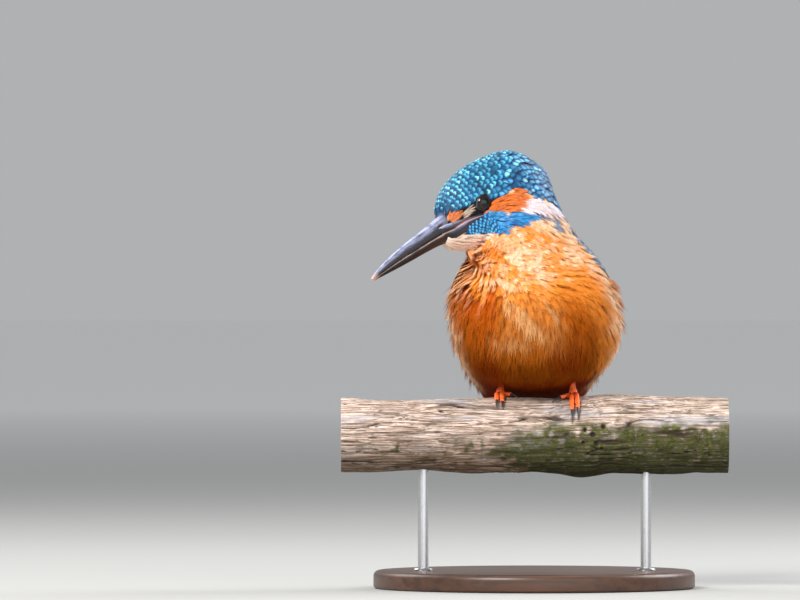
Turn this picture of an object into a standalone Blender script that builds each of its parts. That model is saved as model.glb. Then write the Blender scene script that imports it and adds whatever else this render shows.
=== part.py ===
"""A still, life-size common kingfisher that grips a cut length of branch on a plain display stand.

Sizes are in millimetres, and MM turns them into Blender's metres. The stand's underside lies on z = 0. The
bird is drawn in its own frame, whose origin is the top of the branch between its feet: x points to the
bird's left, y to its back and z up. The head has a frame of its own between the eyes, with f towards the
bill's tip, l to the bird's left and h to the crown.
"""

import math

import bmesh
import bpy
import numpy as np

MM = 0.001
GAP = 0.3

# The stand and the branch.
BASE_RADIUS = 55.0
BASE_THICKNESS = 6.0
BASE_BEVEL = 1.2
ROD_RADIUS = 1.8
ROD_REACH = 38.0
ROD_SEAT = 7.0
PERCH_TOP = 65.0
PERCH_BEHIND_BASE = -8.0
PERCH_LENGTH = 132.0
PERCH_RADIUS = 12.4
PERCH_THICKENING = 0.7

# The head's pose, the place between the eyes and the length of each toe.
HEAD_TURN = 64.0
HEAD_DROP = 29.3
HEAD_PLACE = (-21.2, -6.0, 66.4)
EYE_RADIUS = 3.9
EYE_SPREAD = 6.7
TARSUS_RADIUS = 1.05
TARSUS_TOP = 9.5
TOE_RADIUS = 0.85
CLAW_LENGTH = 4.8

RING_SIDES = 32
STEPS_PER_STATION = 2

# Each row of the head: the dorsal point (f, h), the ventral point (f, h), half the width and the roundness.
HEAD_STATIONS = (
    (12.6, 3.0, 17.0, -7.8, 4.6, 0.95),
    (12.6, 5.0, 15.6, -9.5, 5.3, 0.92),
    (9.3, 8.4, 13.6, -11.0, 6.5, 0.90),
    (3.6, 11.0, 12.0, -12.0, 7.9, 0.88),
    (-5.0, 12.1, 10.8, -12.8, 9.3, 0.88),
    (-14.0, 11.2, 9.8, -13.6, 10.6, 0.90),
    (-22.0, 8.2, 8.6, -14.4, 11.8, 0.92),
)
# Each row of the body: the dorsal point (x, y, z), the ventral point (x, y, z), the turn of the section in
# degrees, half the width to the bird's left and to its right, and the roundness.
BODY_STATIONS = (
    (1.0, 5.8, 79.0, -19.8, -15.0, 47.2, 51.0, 12.0, 14.0, 0.94),
    (2.8, 8.6, 71.6, -14.0, -20.6, 43.6, 36.0, 12.0, 16.4, 0.95),
    (4.2, 12.0, 62.2, -7.0, -24.8, 38.6, 20.0, 13.4, 20.6, 0.95),
    (3.0, 15.4, 53.0, -1.8, -26.8, 31.4, 8.0, 21.6, 26.4, 0.94),
    (1.0, 19.4, 43.6, 0.0, -26.2, 22.0, 2.0, 26.8, 29.4, 0.93),
    (0.0, 24.0, 33.4, 0.0, -22.4, 12.4, 0.0, 29.0, 28.2, 0.93),
    (0.0, 29.0, 22.8, 0.0, -15.2, 6.8, 0.0, 26.4, 25.6, 0.93),
    (0.0, 33.6, 12.6, 0.0, -4.4, 4.0, 0.0, 21.8, 21.8, 0.93),
    (0.0, 37.4, 4.4, 0.0, 8.2, 0.8, 0.0, 18.4, 18.6, 0.94),
    (0.0, 40.8, -1.6, 0.0, 19.0, -3.0, 0.0, 14.4, 14.4, 0.96),
    (0.0, 44.2, -6.2, 0.0, 29.6, -8.8, 0.0, 10.8, 10.8, 0.98),
    (0.0, 47.6, -10.6, 0.0, 43.9, -15.3, 0.0, 8.2, 8.2, 1.0),
)
# Stations, counted from the bill, where thin cuts part the head, the neck and the trunk.
HEAD_END = 6.2
NECK_END = 9.0
CUT = 0.012

# Upper and lower outlines of the bill in the head's frame: f, ridge h, edge h, keel h and half the width.
BILL_STATIONS = (
    (15.5, 2.1, -3.3, -6.8, 3.9),
    (19.0, 1.5, -3.25, -6.4, 3.45),
    (24.0, 0.95, -3.3, -6.05, 2.85),
    (30.0, 0.35, -3.4, -5.85, 2.25),
    (36.5, -0.75, -3.65, -5.5, 1.65),
    (42.0, -2.1, -4.0, -5.1, 1.1),
    (45.8, -3.45, -4.25, -4.85, 0.5),
)
BILL_RAKE = 0.40
BILL_SIDES = 10

# The folded wing on the body's side: its station, and the angles from the spine to its two long edges.
WING_STATIONS = (
    (9.0, 52.0, 66.0),
    (9.4, 38.0, 84.0),
    (10.2, 27.0, 82.0),
    (11.4, 21.0, 77.0),
    (12.8, 17.0, 75.0),
    (14.2, 15.0, 70.0),
    (15.6, 13.0, 59.0),
    (16.8, 12.0, 42.0),
    (17.6, 12.0, 23.0),
)
WING_THICKNESS = 2.3
WING_EDGE = 0.6
WING_GAP = 0.4
WING_ROWS = 20
WING_COLUMNS = 8

# The tail's own line down its middle: y, z, half the width and half the thickness.
TAIL_STATIONS = (
    (46.1, -13.3, 7.2, 2.3),
    (50.0, -16.4, 7.4, 1.6),
    (54.2, -19.5, 7.9, 1.1),
    (58.0, -22.1, 7.6, 0.7),
    (60.2, -23.6, 5.6, 0.45),
)

# Each foot: its side, its place along the branch, where it stands round the branch and how far it reaches.
FEET = (
    ("left", 1, 13.2, 91.0, 1.0),
    ("right", -1, 11.7, 80.0, 0.8),
)
# Each toe: where it leaves the ball of the foot, its turn outwards, its length and its way along the foot.
TOES = (
    ("outer", 1.0, 2.0, 11.0, 1),
    ("middle", -0.6, 0.0, 11.8, 1),
    ("inner", -0.8, -42.0, 5.4, 1),
    ("hind", 0.0, 0.0, 6.0, -1),
)

ORANGE = (0.78, 0.24, 0.03)
BLUE = (0.01, 0.20, 0.42)
DEEP_BLUE = (0.01, 0.10, 0.20)
HORN = (0.03, 0.03, 0.04)
FOOT_RED = (0.85, 0.10, 0.02)
BARK = (0.42, 0.31, 0.20)
WALNUT = (0.12, 0.07, 0.045)


def through(rows, place):
    """Values at a place along the rows, on a Catmull-Rom curve through them."""
    rows = np.asarray(rows, float)
    place = np.clip(np.atleast_1d(np.asarray(place, float)), 0, len(rows) - 1)
    first = np.minimum(place.astype(int), len(rows) - 2)
    t = (place - first)[:, None]
    padded = np.vstack([2 * rows[0] - rows[1], rows, 2 * rows[-1] - rows[-2]])
    a, b, c, d = (padded[first + k] for k in range(4))
    return 0.5 * (
        2 * b + (c - a) * t + (2 * a - 5 * b + 4 * c - d) * t**2 + (3 * b - a - 3 * c + d) * t**3
    )


def head_axes():
    """The head's forward, left and up directions in the bird's frame, as rows."""
    turn, drop = math.radians(HEAD_TURN), math.radians(HEAD_DROP)
    forward = np.array((-math.cos(drop) * math.sin(turn), -math.cos(drop) * math.cos(turn), -math.sin(drop)))
    left = np.array((math.cos(turn), -math.sin(turn), 0.0))
    return np.array((forward, left, np.cross(forward, left)))


def from_head(f, l, h):
    """Points of the head's frame in the bird's frame."""
    return np.array(HEAD_PLACE) + np.stack(np.broadcast_arrays(f, l, h), axis=-1) @ head_axes()


def skin_stations():
    """One table for head and body: dorsal point, ventral point, turn, half widths, roundness."""
    rows = []
    for dorsal_f, dorsal_h, ventral_f, ventral_h, half_width, roundness in HEAD_STATIONS:
        dorsal = from_head(dorsal_f, 0.0, dorsal_h)
        ventral = from_head(ventral_f, 0.0, ventral_h)
        rows.append((*dorsal, *ventral, HEAD_TURN, half_width, half_width, roundness))
    return rows + [tuple(row) for row in BODY_STATIONS]


def body_surface(station, angle):
    """Points of the feathered outline: a ring at each station, with its angle from the spine to the left."""
    station, angle = np.broadcast_arrays(np.asarray(station, float), np.asarray(angle, float))
    rows = through(skin_stations(), station.ravel())
    turn = np.radians(rows[:, 6])
    lateral = np.stack((np.cos(turn), -np.sin(turn), np.zeros_like(turn)), axis=1)
    power = rows[:, 9]
    across = np.sin(angle.ravel())
    along = np.cos(angle.ravel())
    chord = 0.5 * (1 + np.sign(along) * np.abs(along) ** power)
    half_width = np.where(across >= 0, rows[:, 7], rows[:, 8])
    side = np.sign(across) * np.abs(across) ** power * half_width
    points = rows[:, 3:6] + (rows[:, 0:3] - rows[:, 3:6]) * chord[:, None] + lateral * side[:, None]
    return points.reshape(*station.shape, 3)


def raised_surface(station, angle, height):
    """The body's surface moved outwards by a height."""
    small = 0.01
    along = body_surface(station + small, angle) - body_surface(station - small, angle)
    around = body_surface(station, angle + small) - body_surface(station, angle - small)
    normal = np.cross(around, along)
    normal /= np.linalg.norm(normal, axis=-1, keepdims=True)
    return body_surface(station, angle) + normal * np.asarray(height)[..., None]


def material(name, colour, roughness, metallic=0.0):
    made = bpy.data.materials.new(name)
    made.use_nodes = True
    shader = made.node_tree.nodes["Principled BSDF"]
    shader.inputs["Base Color"].default_value = (*colour, 1.0)
    shader.inputs["Roughness"].default_value = roughness
    shader.inputs["Metallic"].default_value = metallic
    made.diffuse_color = (*colour, 1.0)
    return made


def mesh_object(name, points, faces, finish, parent):
    """An object from points in millimetres in its parent's frame."""
    mesh = bpy.data.meshes.new(name)
    mesh.from_pydata((np.asarray(points) * MM).tolist(), [], faces)
    work = bmesh.new()
    work.from_mesh(mesh)
    bmesh.ops.recalc_face_normals(work, faces=work.faces)
    work.to_mesh(mesh)
    work.free()
    mesh.shade_smooth()
    mesh.set_sharp_from_angle(angle=math.radians(40))
    mesh.materials.append(finish)
    made = bpy.data.objects.new(name, mesh)
    bpy.context.scene.collection.objects.link(made)
    made.parent = parent
    return made


def loft(name, rings, finish, parent):
    """A closed solid through rings of equally many points, with a flat cap on each end."""
    rings = np.asarray(rings)
    count, sides = rings.shape[:2]
    faces = [tuple(range(sides)), tuple((count - 1) * sides + k for k in range(sides))]
    for row in range(count - 1):
        for k in range(sides):
            after = (k + 1) % sides
            faces.append(
                (row * sides + k, row * sides + after, (row + 1) * sides + after, (row + 1) * sides + k)
            )
    return mesh_object(name, rings.reshape(-1, 3), faces, finish, parent)


def slab(name, outer, inner, finish, parent):
    """A closed solid between two grids of the same shape, joined round their rim."""
    rows, columns = outer.shape[:2]
    points = np.concatenate([outer.reshape(-1, 3), inner.reshape(-1, 3)])
    below = rows * columns
    faces = []
    for i in range(rows - 1):
        for j in range(columns - 1):
            corners = (i * columns + j, i * columns + j + 1, (i + 1) * columns + j + 1, (i + 1) * columns + j)
            faces.append(corners)
            faces.append(tuple(below + c for c in reversed(corners)))
    rim = [(0, j) for j in range(columns - 1)] + [(i, columns - 1) for i in range(rows - 1)]
    rim += [(rows - 1, j) for j in range(columns - 1, 0, -1)] + [(i, 0) for i in range(rows - 1, 0, -1)]
    rim = [i * columns + j for i, j in rim]
    for k, here in enumerate(rim):
        after = rim[(k + 1) % len(rim)]
        faces.append((here, after, below + after, below + here))
    return mesh_object(name, points, faces, finish, parent)


def tube_rings(path, radii, across, sides=8):
    """Rings of a round tube along a path that keeps square to the direction across."""
    path = np.asarray(path, float)
    forward = np.gradient(path, axis=0)
    forward /= np.linalg.norm(forward, axis=1, keepdims=True)
    side = np.asarray(across, float) - forward * (forward @ np.asarray(across, float))[:, None]
    side /= np.linalg.norm(side, axis=1, keepdims=True)
    up = np.cross(forward, side)
    angle = np.linspace(0, 2 * math.pi, sides, endpoint=False)[None, :, None]
    radii = np.broadcast_to(np.asarray(radii, float), len(path))[:, None, None]
    return path[:, None] + radii * (np.cos(angle) * side[:, None] + np.sin(angle) * up[:, None])


def sphere(name, centre, radius, finish, parent, segments=16, rings=10):
    mesh = bpy.data.meshes.new(name)
    work = bmesh.new()
    bmesh.ops.create_uvsphere(work, u_segments=segments, v_segments=rings, radius=radius * MM)
    work.to_mesh(mesh)
    work.free()
    mesh.shade_smooth()
    mesh.materials.append(finish)
    made = bpy.data.objects.new(name, mesh)
    bpy.context.scene.collection.objects.link(made)
    made.parent = parent
    made.location = [c * MM for c in centre]
    return made


def boolean(target, tool, operation):
    """Adds a Boolean whose tool is left out of the model."""
    tool.hide_render = True
    tool.display_type = "WIRE"
    modifier = target.modifiers.new(operation.lower(), "BOOLEAN")
    modifier.operation = operation
    modifier.object = tool
    modifier.solver = "EXACT"


def body_part(name, start, end, finish, parent):
    """A length of the feathered body between two stations."""
    count = max(2, round((end - start) * STEPS_PER_STATION) + 1)
    stations = np.linspace(start, end, count)[:, None]
    angles = np.linspace(0, 2 * math.pi, RING_SIDES, endpoint=False)[None, :]
    return loft(name, body_surface(stations, angles), finish, parent)


def eyes(head, finish, parent):
    """Both eyes, each in a socket cut from the head."""
    for side, word in ((1, "left"), (-1, "right")):
        centre = from_head(0.0, side * EYE_SPREAD, 0.0)
        sphere("eye_" + word, centre, EYE_RADIUS, finish, parent)
        socket = sphere("socket_" + word, centre, EYE_RADIUS + GAP, finish, parent)
        boolean(head, socket, "DIFFERENCE")


def bill(finish, parent):
    """The two closed halves of the bill, each a ridged loft from the face to the tip."""
    rows = through(BILL_STATIONS, np.linspace(0, len(BILL_STATIONS) - 1, 13))
    sweep = np.linspace(0, math.pi, BILL_SIDES)
    for name, sign, column in (("bill_upper", 1, 1), ("bill_lower", -1, 3)):
        edge = rows[:, 2:3] + sign * GAP / 2
        height = np.abs(rows[:, column : column + 1] - edge)
        lateral = np.cos(sweep)[None, :] * rows[:, 4:5]
        vertical = edge + sign * height * np.sin(sweep)[None, :] ** 1.25
        rake = BILL_RAKE * np.clip(1 - (rows[:, 0:1] - rows[0, 0]) / 12.0, 0, 1)
        forward = rows[:, 0:1] - rake * (vertical - rows[:, 2:3])
        loft(name, from_head(forward, lateral, vertical), finish, parent)


def wing(word, side, finish, parent):
    """A folded wing: a thin slab over the body's surface, thickest along its middle."""
    rows = through(WING_STATIONS, np.linspace(0, len(WING_STATIONS) - 1, WING_ROWS))
    across = np.linspace(0, 1, WING_COLUMNS)[None, :]
    angle = np.radians(rows[:, 1:2] + (rows[:, 2:3] - rows[:, 1:2]) * across) * side
    station = np.broadcast_to(rows[:, 0:1], angle.shape)
    along = np.linspace(0.04, 0.98, WING_ROWS)[:, None]
    swell = np.sin(math.pi * across) * np.sin(math.pi * along**0.7) ** 0.6
    height = WING_EDGE + (WING_THICKNESS - WING_EDGE) * swell
    outer = raised_surface(station, angle, WING_GAP + height)
    inner = raised_surface(station, angle, np.full(angle.shape, WING_GAP))
    return slab("wing_" + word, outer, inner, finish, parent)


def tail(finish, parent):
    """The short square tail, flatter and wider towards its tip."""
    rows = through(TAIL_STATIONS, np.linspace(0, len(TAIL_STATIONS) - 1, 11))
    line = rows[:, :2]
    forward = np.gradient(line, axis=0)
    forward /= np.linalg.norm(forward, axis=1, keepdims=True)
    angle = np.linspace(0, 2 * math.pi, 20, endpoint=False)
    across = np.sign(np.cos(angle)) * np.abs(np.cos(angle)) ** 0.7
    rise = np.sin(angle)
    x = rows[:, 2:3] * across
    y = line[:, 0:1] - forward[:, 1:2] * rows[:, 3:4] * rise
    z = line[:, 1:2] + forward[:, 0:1] * rows[:, 3:4] * rise
    loft("tail", np.stack((x, y, z), axis=-1), finish, parent)


def perch_outline(x, angle, lift=0.0):
    """Points on the branch, in the bird's frame: angle 90 is its top, 180 the side the bird faces."""
    x, angle = np.broadcast_arrays(np.asarray(x, float), np.radians(np.asarray(angle, float)))
    radius = PERCH_RADIUS + PERCH_THICKENING * np.clip(x / PERCH_LENGTH + 0.5, 0, 1)
    radius = radius + 1.3 * np.exp(-(((x - 24) / 13) ** 2)) * np.clip(np.sin(angle), 0, 1)
    radius = radius + 1.9 * np.exp(-(((x - 17) / 8) ** 2)) * np.clip(-np.sin(angle - 0.2), 0, 1) ** 1.5
    radius = radius + 0.35 * np.sin(x / 9.0 + 2 * angle) + 0.2 * np.sin(x / 5.1 - 3 * angle + 1.0)
    radius = radius + lift
    return np.stack((x, radius * np.cos(angle), -PERCH_RADIUS - 0.4 + radius * np.sin(angle)), axis=-1)


def over_perch(foot, toe, along, lift):
    """Points over the branch at distances along a toe from the ball of its foot."""
    _, side, place, stance, reach = foot
    _, offset, turn, _, way = toe
    turn = math.radians(turn)
    along = np.asarray(along, float) * reach
    x = side * (place + offset + along * math.sin(turn))
    angle = stance + way * np.degrees(along * math.cos(turn) / (PERCH_RADIUS + TOE_RADIUS))
    return perch_outline(x, angle, lift)


def legs(trunk, skin, horn, parent):
    """Each leg is the bare tarsus and four toes over the branch, and each toe has a claw of its own."""
    for foot in FEET:
        word, side, place, stance, _ = foot
        ball = perch_outline(side * place, stance, TOE_RADIUS + 1.1)
        top = np.array((side * (place - 0.6), ball[1] + 0.8, TARSUS_TOP))
        line = ball + (top - ball) * np.linspace(0, 1, 5)[:, None]
        leg = loft("leg_" + word, tube_rings(line, TARSUS_RADIUS, (1, 0, 0), 10), skin, parent)
        line[-1] += (0, 0, GAP)
        sleeve = loft("sleeve_" + word, tube_rings(line, TARSUS_RADIUS + GAP, (1, 0, 0), 10), skin, parent)
        boolean(trunk, sleeve, "DIFFERENCE")
        boolean(leg, sphere("knuckle_" + word, ball, TARSUS_RADIUS + 0.4, skin, parent, 12, 8), "UNION")
        for toe in TOES:
            along = np.linspace(0, toe[3], 9)
            radii = TOE_RADIUS * np.interp(along / toe[3], (0, 0.8, 1), (1.0, 0.95, 0.7))
            path = over_perch(foot, toe, along, TOE_RADIUS + GAP)
            part = loft(f"toe_{word}_{toe[0]}", tube_rings(path, radii, (1, 0, 0)), skin, parent)
            boolean(leg, part, "UNION")
            claw(f"claw_{word}_{toe[0]}", foot, toe, horn, parent)


def claw(name, foot, toe, finish, parent):
    """A tapering claw that starts just past its toe and bends round the branch."""
    steps = np.linspace(0, 1, 6)
    radii = 0.5 * (1 - steps) ** 0.8 + 0.16
    lift = GAP + radii + 0.4 * np.sin(math.pi * steps * 0.9)
    path = over_perch(foot, toe, toe[3] + GAP / foot[4] + CLAW_LENGTH * steps, lift)
    loft(name, tube_rings(path, radii, (1, 0, 0), 6), finish, parent)


def perch(finish, parent):
    """The cut branch, with a blind hole underneath for each rod."""
    x = np.linspace(-PERCH_LENGTH / 2, PERCH_LENGTH / 2, 25)[:, None]
    angle = np.linspace(0, 360, 26, endpoint=False)[None, :]
    branch = loft("perch", perch_outline(x, angle), finish, parent)
    for side in (-1, 1):
        hole = rod_solid(f"perch_hole_{side + 1}", side, -PERCH_TOP, rod_top() + GAP, GAP, finish, parent)
        boolean(branch, hole, "DIFFERENCE")


def rod_top():
    """Height of the rods' upper ends in the bird's frame, inside the branch."""
    return -2 * PERCH_RADIUS + ROD_SEAT


def rod_solid(name, side, bottom, top, slack, finish, parent):
    line = [(side * ROD_REACH, 0.0, bottom), (side * ROD_REACH, 0.0, top)]
    return loft(name, tube_rings(line, ROD_RADIUS + slack, (1, 0, 0), 16), finish, parent)


def stand(wood, steel, parent):
    """A round wooden base with two steel rods up into the branch."""
    mesh = bpy.data.meshes.new("stand_base")
    work = bmesh.new()
    bmesh.ops.create_cone(
        work,
        cap_ends=True,
        segments=56,
        radius1=BASE_RADIUS * MM,
        radius2=BASE_RADIUS * MM,
        depth=BASE_THICKNESS * MM,
    )
    top_rim = [e for e in work.edges if all(v.co.z > 0 for v in e.verts)]
    bmesh.ops.bevel(work, geom=top_rim, offset=BASE_BEVEL * MM, segments=2, affect="EDGES", profile=0.5)
    work.to_mesh(mesh)
    work.free()
    mesh.shade_smooth()
    mesh.set_sharp_from_angle(angle=math.radians(30))
    mesh.materials.append(wood)
    base = bpy.data.objects.new("stand_base", mesh)
    bpy.context.scene.collection.objects.link(base)
    base.location = (0, 0, BASE_THICKNESS * MM / 2)
    rod_foot = -PERCH_TOP + BASE_THICKNESS / 2
    for side, word in ((-1, "right"), (1, "left")):
        rod_solid("stand_rod_" + word, side, rod_foot, rod_top(), 0.0, steel, parent)
        seat = rod_solid("seat_" + word, side, rod_foot - GAP, 0.0, GAP, steel, parent)
        boolean(base, seat, "DIFFERENCE")


def main():
    for old in list(bpy.data.objects):
        bpy.data.objects.remove(old)
    bird = bpy.data.objects.new("perch_top", None)
    bpy.context.scene.collection.objects.link(bird)
    bird.location = (0, PERCH_BEHIND_BASE * MM, PERCH_TOP * MM)

    blue = material("blue_plumage", BLUE, 0.55)
    orange = material("orange_plumage", ORANGE, 0.8)
    horn = material("bill_horn", HORN, 0.35)
    last = len(HEAD_STATIONS) + len(BODY_STATIONS) - 1

    head = body_part("head", 0, HEAD_END - CUT, blue, bird)
    body_part("neck", HEAD_END + CUT, NECK_END - CUT, orange, bird)
    trunk = body_part("trunk", NECK_END + CUT, last, orange, bird)
    eyes(head, material("eye", (0.01, 0.008, 0.007), 0.05), bird)
    bill(horn, bird)
    for side, word in ((1, "left"), (-1, "right")):
        wing(word, side, material("wing_plumage_" + word, DEEP_BLUE, 0.5), bird)
    tail(blue, bird)
    legs(trunk, material("foot_skin", FOOT_RED, 0.45), horn, bird)
    perch(material("bark", BARK, 0.9), bird)
    stand(material("walnut", WALNUT, 0.4), material("steel", (0.6, 0.6, 0.62), 0.3, 1.0), bird)


if __name__ == "__main__":
    main()
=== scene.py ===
"""Looks of a still, life-size kingfisher on a cut branch: skin, plumage, bare parts, bark, stand and stage.

Shapes are worked out in millimetres in the bird's own frame: its origin is the top of the branch between
the feet, x points to the bird's left, y to its back and z up. The head has a frame of its own between the
eyes, with f towards the bill's tip, l to the bird's left and h to the crown. A place on the body is a
station, counted from the bill's base to the tail, and an angle, counted from the spine to the bird's left.
"""

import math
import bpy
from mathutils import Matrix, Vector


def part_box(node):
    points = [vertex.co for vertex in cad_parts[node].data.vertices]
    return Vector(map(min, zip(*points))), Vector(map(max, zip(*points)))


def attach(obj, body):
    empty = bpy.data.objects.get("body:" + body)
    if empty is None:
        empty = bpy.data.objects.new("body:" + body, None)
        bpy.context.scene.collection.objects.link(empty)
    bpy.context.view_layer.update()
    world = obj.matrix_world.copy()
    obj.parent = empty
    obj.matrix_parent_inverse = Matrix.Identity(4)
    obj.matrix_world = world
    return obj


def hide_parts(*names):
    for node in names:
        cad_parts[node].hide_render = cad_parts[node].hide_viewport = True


bl_info = {
    "name": "Kingfisher on a Cut Branch",
    "version": (1, 0, 0),
    "blender": (4, 5, 0),
    "location": "View3D > Sidebar > Kingfisher",
    "description": "Dresses the kingfisher's solids with skin, feathers, bare parts, bark and a stand",
    "category": "Object",
}

from collections import namedtuple

import bpy
import numpy as np
from bpy.props import FloatProperty, FloatVectorProperty, PointerProperty
from mathutils import Vector
from mathutils.kdtree import KDTree

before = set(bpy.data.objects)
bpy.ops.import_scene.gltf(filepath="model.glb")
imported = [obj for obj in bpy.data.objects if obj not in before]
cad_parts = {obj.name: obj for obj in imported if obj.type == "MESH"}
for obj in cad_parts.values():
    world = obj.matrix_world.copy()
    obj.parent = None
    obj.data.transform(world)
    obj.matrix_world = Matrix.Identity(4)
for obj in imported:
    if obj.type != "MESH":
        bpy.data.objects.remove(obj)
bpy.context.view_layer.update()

MM = 0.001
# The bird's place over the base, the head's turn to the bird's right, its drop and its place, and the eyes'
# radius and distance from the head's middle.
BIRD_PLACE = np.array((0.0, -8.0, 65.0))
HEAD_TURN = 64.0
HEAD_DROP = 29.3
HEAD_PLACE = np.array((-21.2, -6.0, 66.4))
EYE_RADIUS = 3.9
EYE_SPREAD = 6.7

# Each row of the head: the dorsal point (f, h), the ventral point (f, h), half the width and the roundness.
HEAD_STATIONS = (
    (12.6, 3.0, 17.0, -7.8, 4.6, 0.95),
    (12.6, 5.0, 15.6, -9.5, 5.3, 0.92),
    (9.3, 8.4, 13.6, -11.0, 6.5, 0.90),
    (3.6, 11.0, 12.0, -12.0, 7.9, 0.88),
    (-5.0, 12.1, 10.8, -12.8, 9.3, 0.88),
    (-14.0, 11.2, 9.8, -13.6, 10.6, 0.90),
    (-22.0, 8.2, 8.6, -14.4, 11.8, 0.92),
)
# Each row of the body: the dorsal point (x, y, z), the ventral point (x, y, z), the turn of the section in
# degrees, half the width to the bird's left and to its right, and the roundness.
BODY_STATIONS = (
    (1.0, 5.8, 79.0, -19.8, -15.0, 47.2, 51.0, 12.0, 14.0, 0.94),
    (2.8, 8.6, 71.6, -14.0, -20.6, 43.6, 36.0, 12.0, 16.4, 0.95),
    (4.2, 12.0, 62.2, -7.0, -24.8, 38.6, 20.0, 13.4, 20.6, 0.95),
    (3.0, 15.4, 53.0, -1.8, -26.8, 31.4, 8.0, 21.6, 26.4, 0.94),
    (1.0, 19.4, 43.6, 0.0, -26.2, 22.0, 2.0, 26.8, 29.4, 0.93),
    (0.0, 24.0, 33.4, 0.0, -22.4, 12.4, 0.0, 29.0, 28.2, 0.93),
    (0.0, 29.0, 22.8, 0.0, -15.2, 6.8, 0.0, 26.4, 25.6, 0.93),
    (0.0, 33.6, 12.6, 0.0, -4.4, 4.0, 0.0, 21.8, 21.8, 0.93),
    (0.0, 37.4, 4.4, 0.0, 8.2, 0.8, 0.0, 18.4, 18.6, 0.94),
    (0.0, 40.8, -1.6, 0.0, 19.0, -3.0, 0.0, 14.4, 14.4, 0.96),
    (0.0, 44.2, -6.2, 0.0, 29.6, -8.8, 0.0, 10.8, 10.8, 0.98),
    (0.0, 47.6, -10.6, 0.0, 43.9, -15.3, 0.0, 8.2, 8.2, 1.0),
    (0.0, 51.4, -14.8, 0.0, 49.8, -17.6, 0.0, 7.4, 7.4, 1.0),
)
TAIL_END = 18.0
SKIN_END = 18.4
# The crease below the chin, where head and breast meet: its stations, and the angles where it starts.
CREASE_STATIONS = (5.95, 7.02)
CREASE_RIGHT = -108
CREASE_LEFT = 140
# The coat's depth over the skin along the body: station and depth.
COAT_DEPTH = ((0, 0.5), (1, 0.6), (3, 0.9), (5, 1.1), (7, 1.4), (9, 1.9), (11, 2.6), (15, 2.6), (19, 1.4))
# The folded wing on the body's side: its station, and the angles from the spine to its two long edges.
WING_STATIONS = (
    (9.0, 52.0, 66.0),
    (9.4, 38.0, 84.0),
    (10.2, 27.0, 82.0),
    (11.4, 21.0, 77.0),
    (12.8, 17.0, 75.0),
    (14.2, 15.0, 70.0),
    (15.6, 13.0, 59.0),
    (16.8, 12.0, 42.0),
    (17.6, 12.0, 23.0),
)
WING_THICKNESS = 2.3
WING_EDGE = 0.6
WING_GAP = 0.4
# The tail's own line down its middle: y and z.
TAIL_STATIONS = ((46.1, -13.3), (50.0, -16.4), (54.2, -19.5), (58.0, -22.1), (60.2, -23.6))

# Edges of the markings, as places of a station and an angle from the spine. The first is the lower edge of
# the blue of crown, nape, back and wings, and the others are closed outlines on the side of the head.
CROWN_EDGE = (
    (0.0, 20), (0.6, 22), (1.05, 28), (1.5, 54), (2.0, 66), (2.7, 78), (3.2, 80.5), (3.65, 81.5),
    (4.0, 77), (4.4, 77.5), (4.8, 84), (5.1, 89.5), (5.4, 86.5), (5.8, 81), (6.2, 73.5), (6.5, 73.5),
    (6.68, 80), (6.9, 76), (7.1, 72), (7.55, 66), (7.95, 58), (8.4, 52), (8.7, 60), (8.95, 64), (9.2, 67),
    (9.4, 72), (9.6, 80), (9.9, 84), (10.1, 79), (10.3, 72), (11.0, 70), (13.0, 70), (14.5, 66),
    (15.6, 58), (16.8, 50), (18.0, 60), (19.0, 90),
)
CHEEK = (
    (3.1, 108), (3.8, 105), (4.45, 102), (4.75, 99), (5.1, 98.7), (5.8, 99.7), (6.2, 100), (6.5, 97),
    (6.7, 93), (7.0, 90), (7.35, 86), (7.75, 80), (8.15, 72.7), (8.2, 75), (7.8, 83), (7.45, 90),
    (7.3, 95), (7.06, 104), (6.82, 108), (6.7, 113), (6.76, 119), (6.5, 125), (6.0, 129), (5.0, 128),
    (3.95, 124), (3.1, 117),
)
NECK_PATCH = (
    (6.7, 93), (6.64, 86), (6.68, 81.5), (6.9, 76), (7.15, 72), (7.5, 67), (8.05, 57), (8.5, 48),
    (8.8, 43), (8.6, 55), (8.32, 65), (7.9, 74), (7.6, 80.5), (7.3, 85.5), (7.0, 90.5),
)
EAR = (
    (4.4, 101.7), (4.7, 97), (4.9, 92), (5.15, 89.5), (5.5, 86.5), (5.88, 81.5), (6.06, 78), (6.2, 73),
    (6.28, 75), (6.5, 73), (6.5, 77), (6.66, 79), (6.68, 90), (6.72, 93.5), (6.24, 100), (5.77, 99.3),
    (5.1, 98.7), (4.74, 99.7),
)
LORE_SPOT = (
    (1.35, 64), (1.6, 62), (2.0, 66), (2.5, 74), (2.85, 83), (2.84, 87), (2.56, 89), (2.0, 87.5),
    (1.4, 80),
)
BUFF_SPOT = (
    (2.86, 89.7), (3.05, 84.5), (3.35, 83), (3.65, 85), (3.65, 91), (3.43, 93), (3.1, 93),
)
BARE = (
    (0.0, 20), (0.6, 22), (1.05, 28), (1.4, 58), (1.3, 80), (2.4, 90), (3.1, 93.3), (3.7, 96.3),
    (4.15, 97.5), (4.5, 100.5), (4.45, 102.3), (3.8, 105), (3.1, 107.5), (3.1, 116), (2.5, 114),
    (1.85, 115), (0.0, 112),
)
THROAT_END = ((90, 6.6), (120, 6.55), (132, 6.3), (148, 6.1), (156, 5.8), (164, 5.4), (180, 5.2))


def srgb(red, green, blue):
    """The linear colour of one given from 0 to 255."""
    part = np.array((red, green, blue)) / 255
    return tuple(np.where(part <= 0.04045, part / 12.92, ((part + 0.055) / 1.055) ** 2.4).tolist())


def colour(name, words, default):
    """A colour that a user can change."""
    return FloatVectorProperty(name=name, description=words, subtype="COLOR", min=0, max=1, default=default)


def length(name, words, default):
    """A length that a user can change."""
    return FloatProperty(name=name, description=words, default=default, unit="LENGTH")


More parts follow.
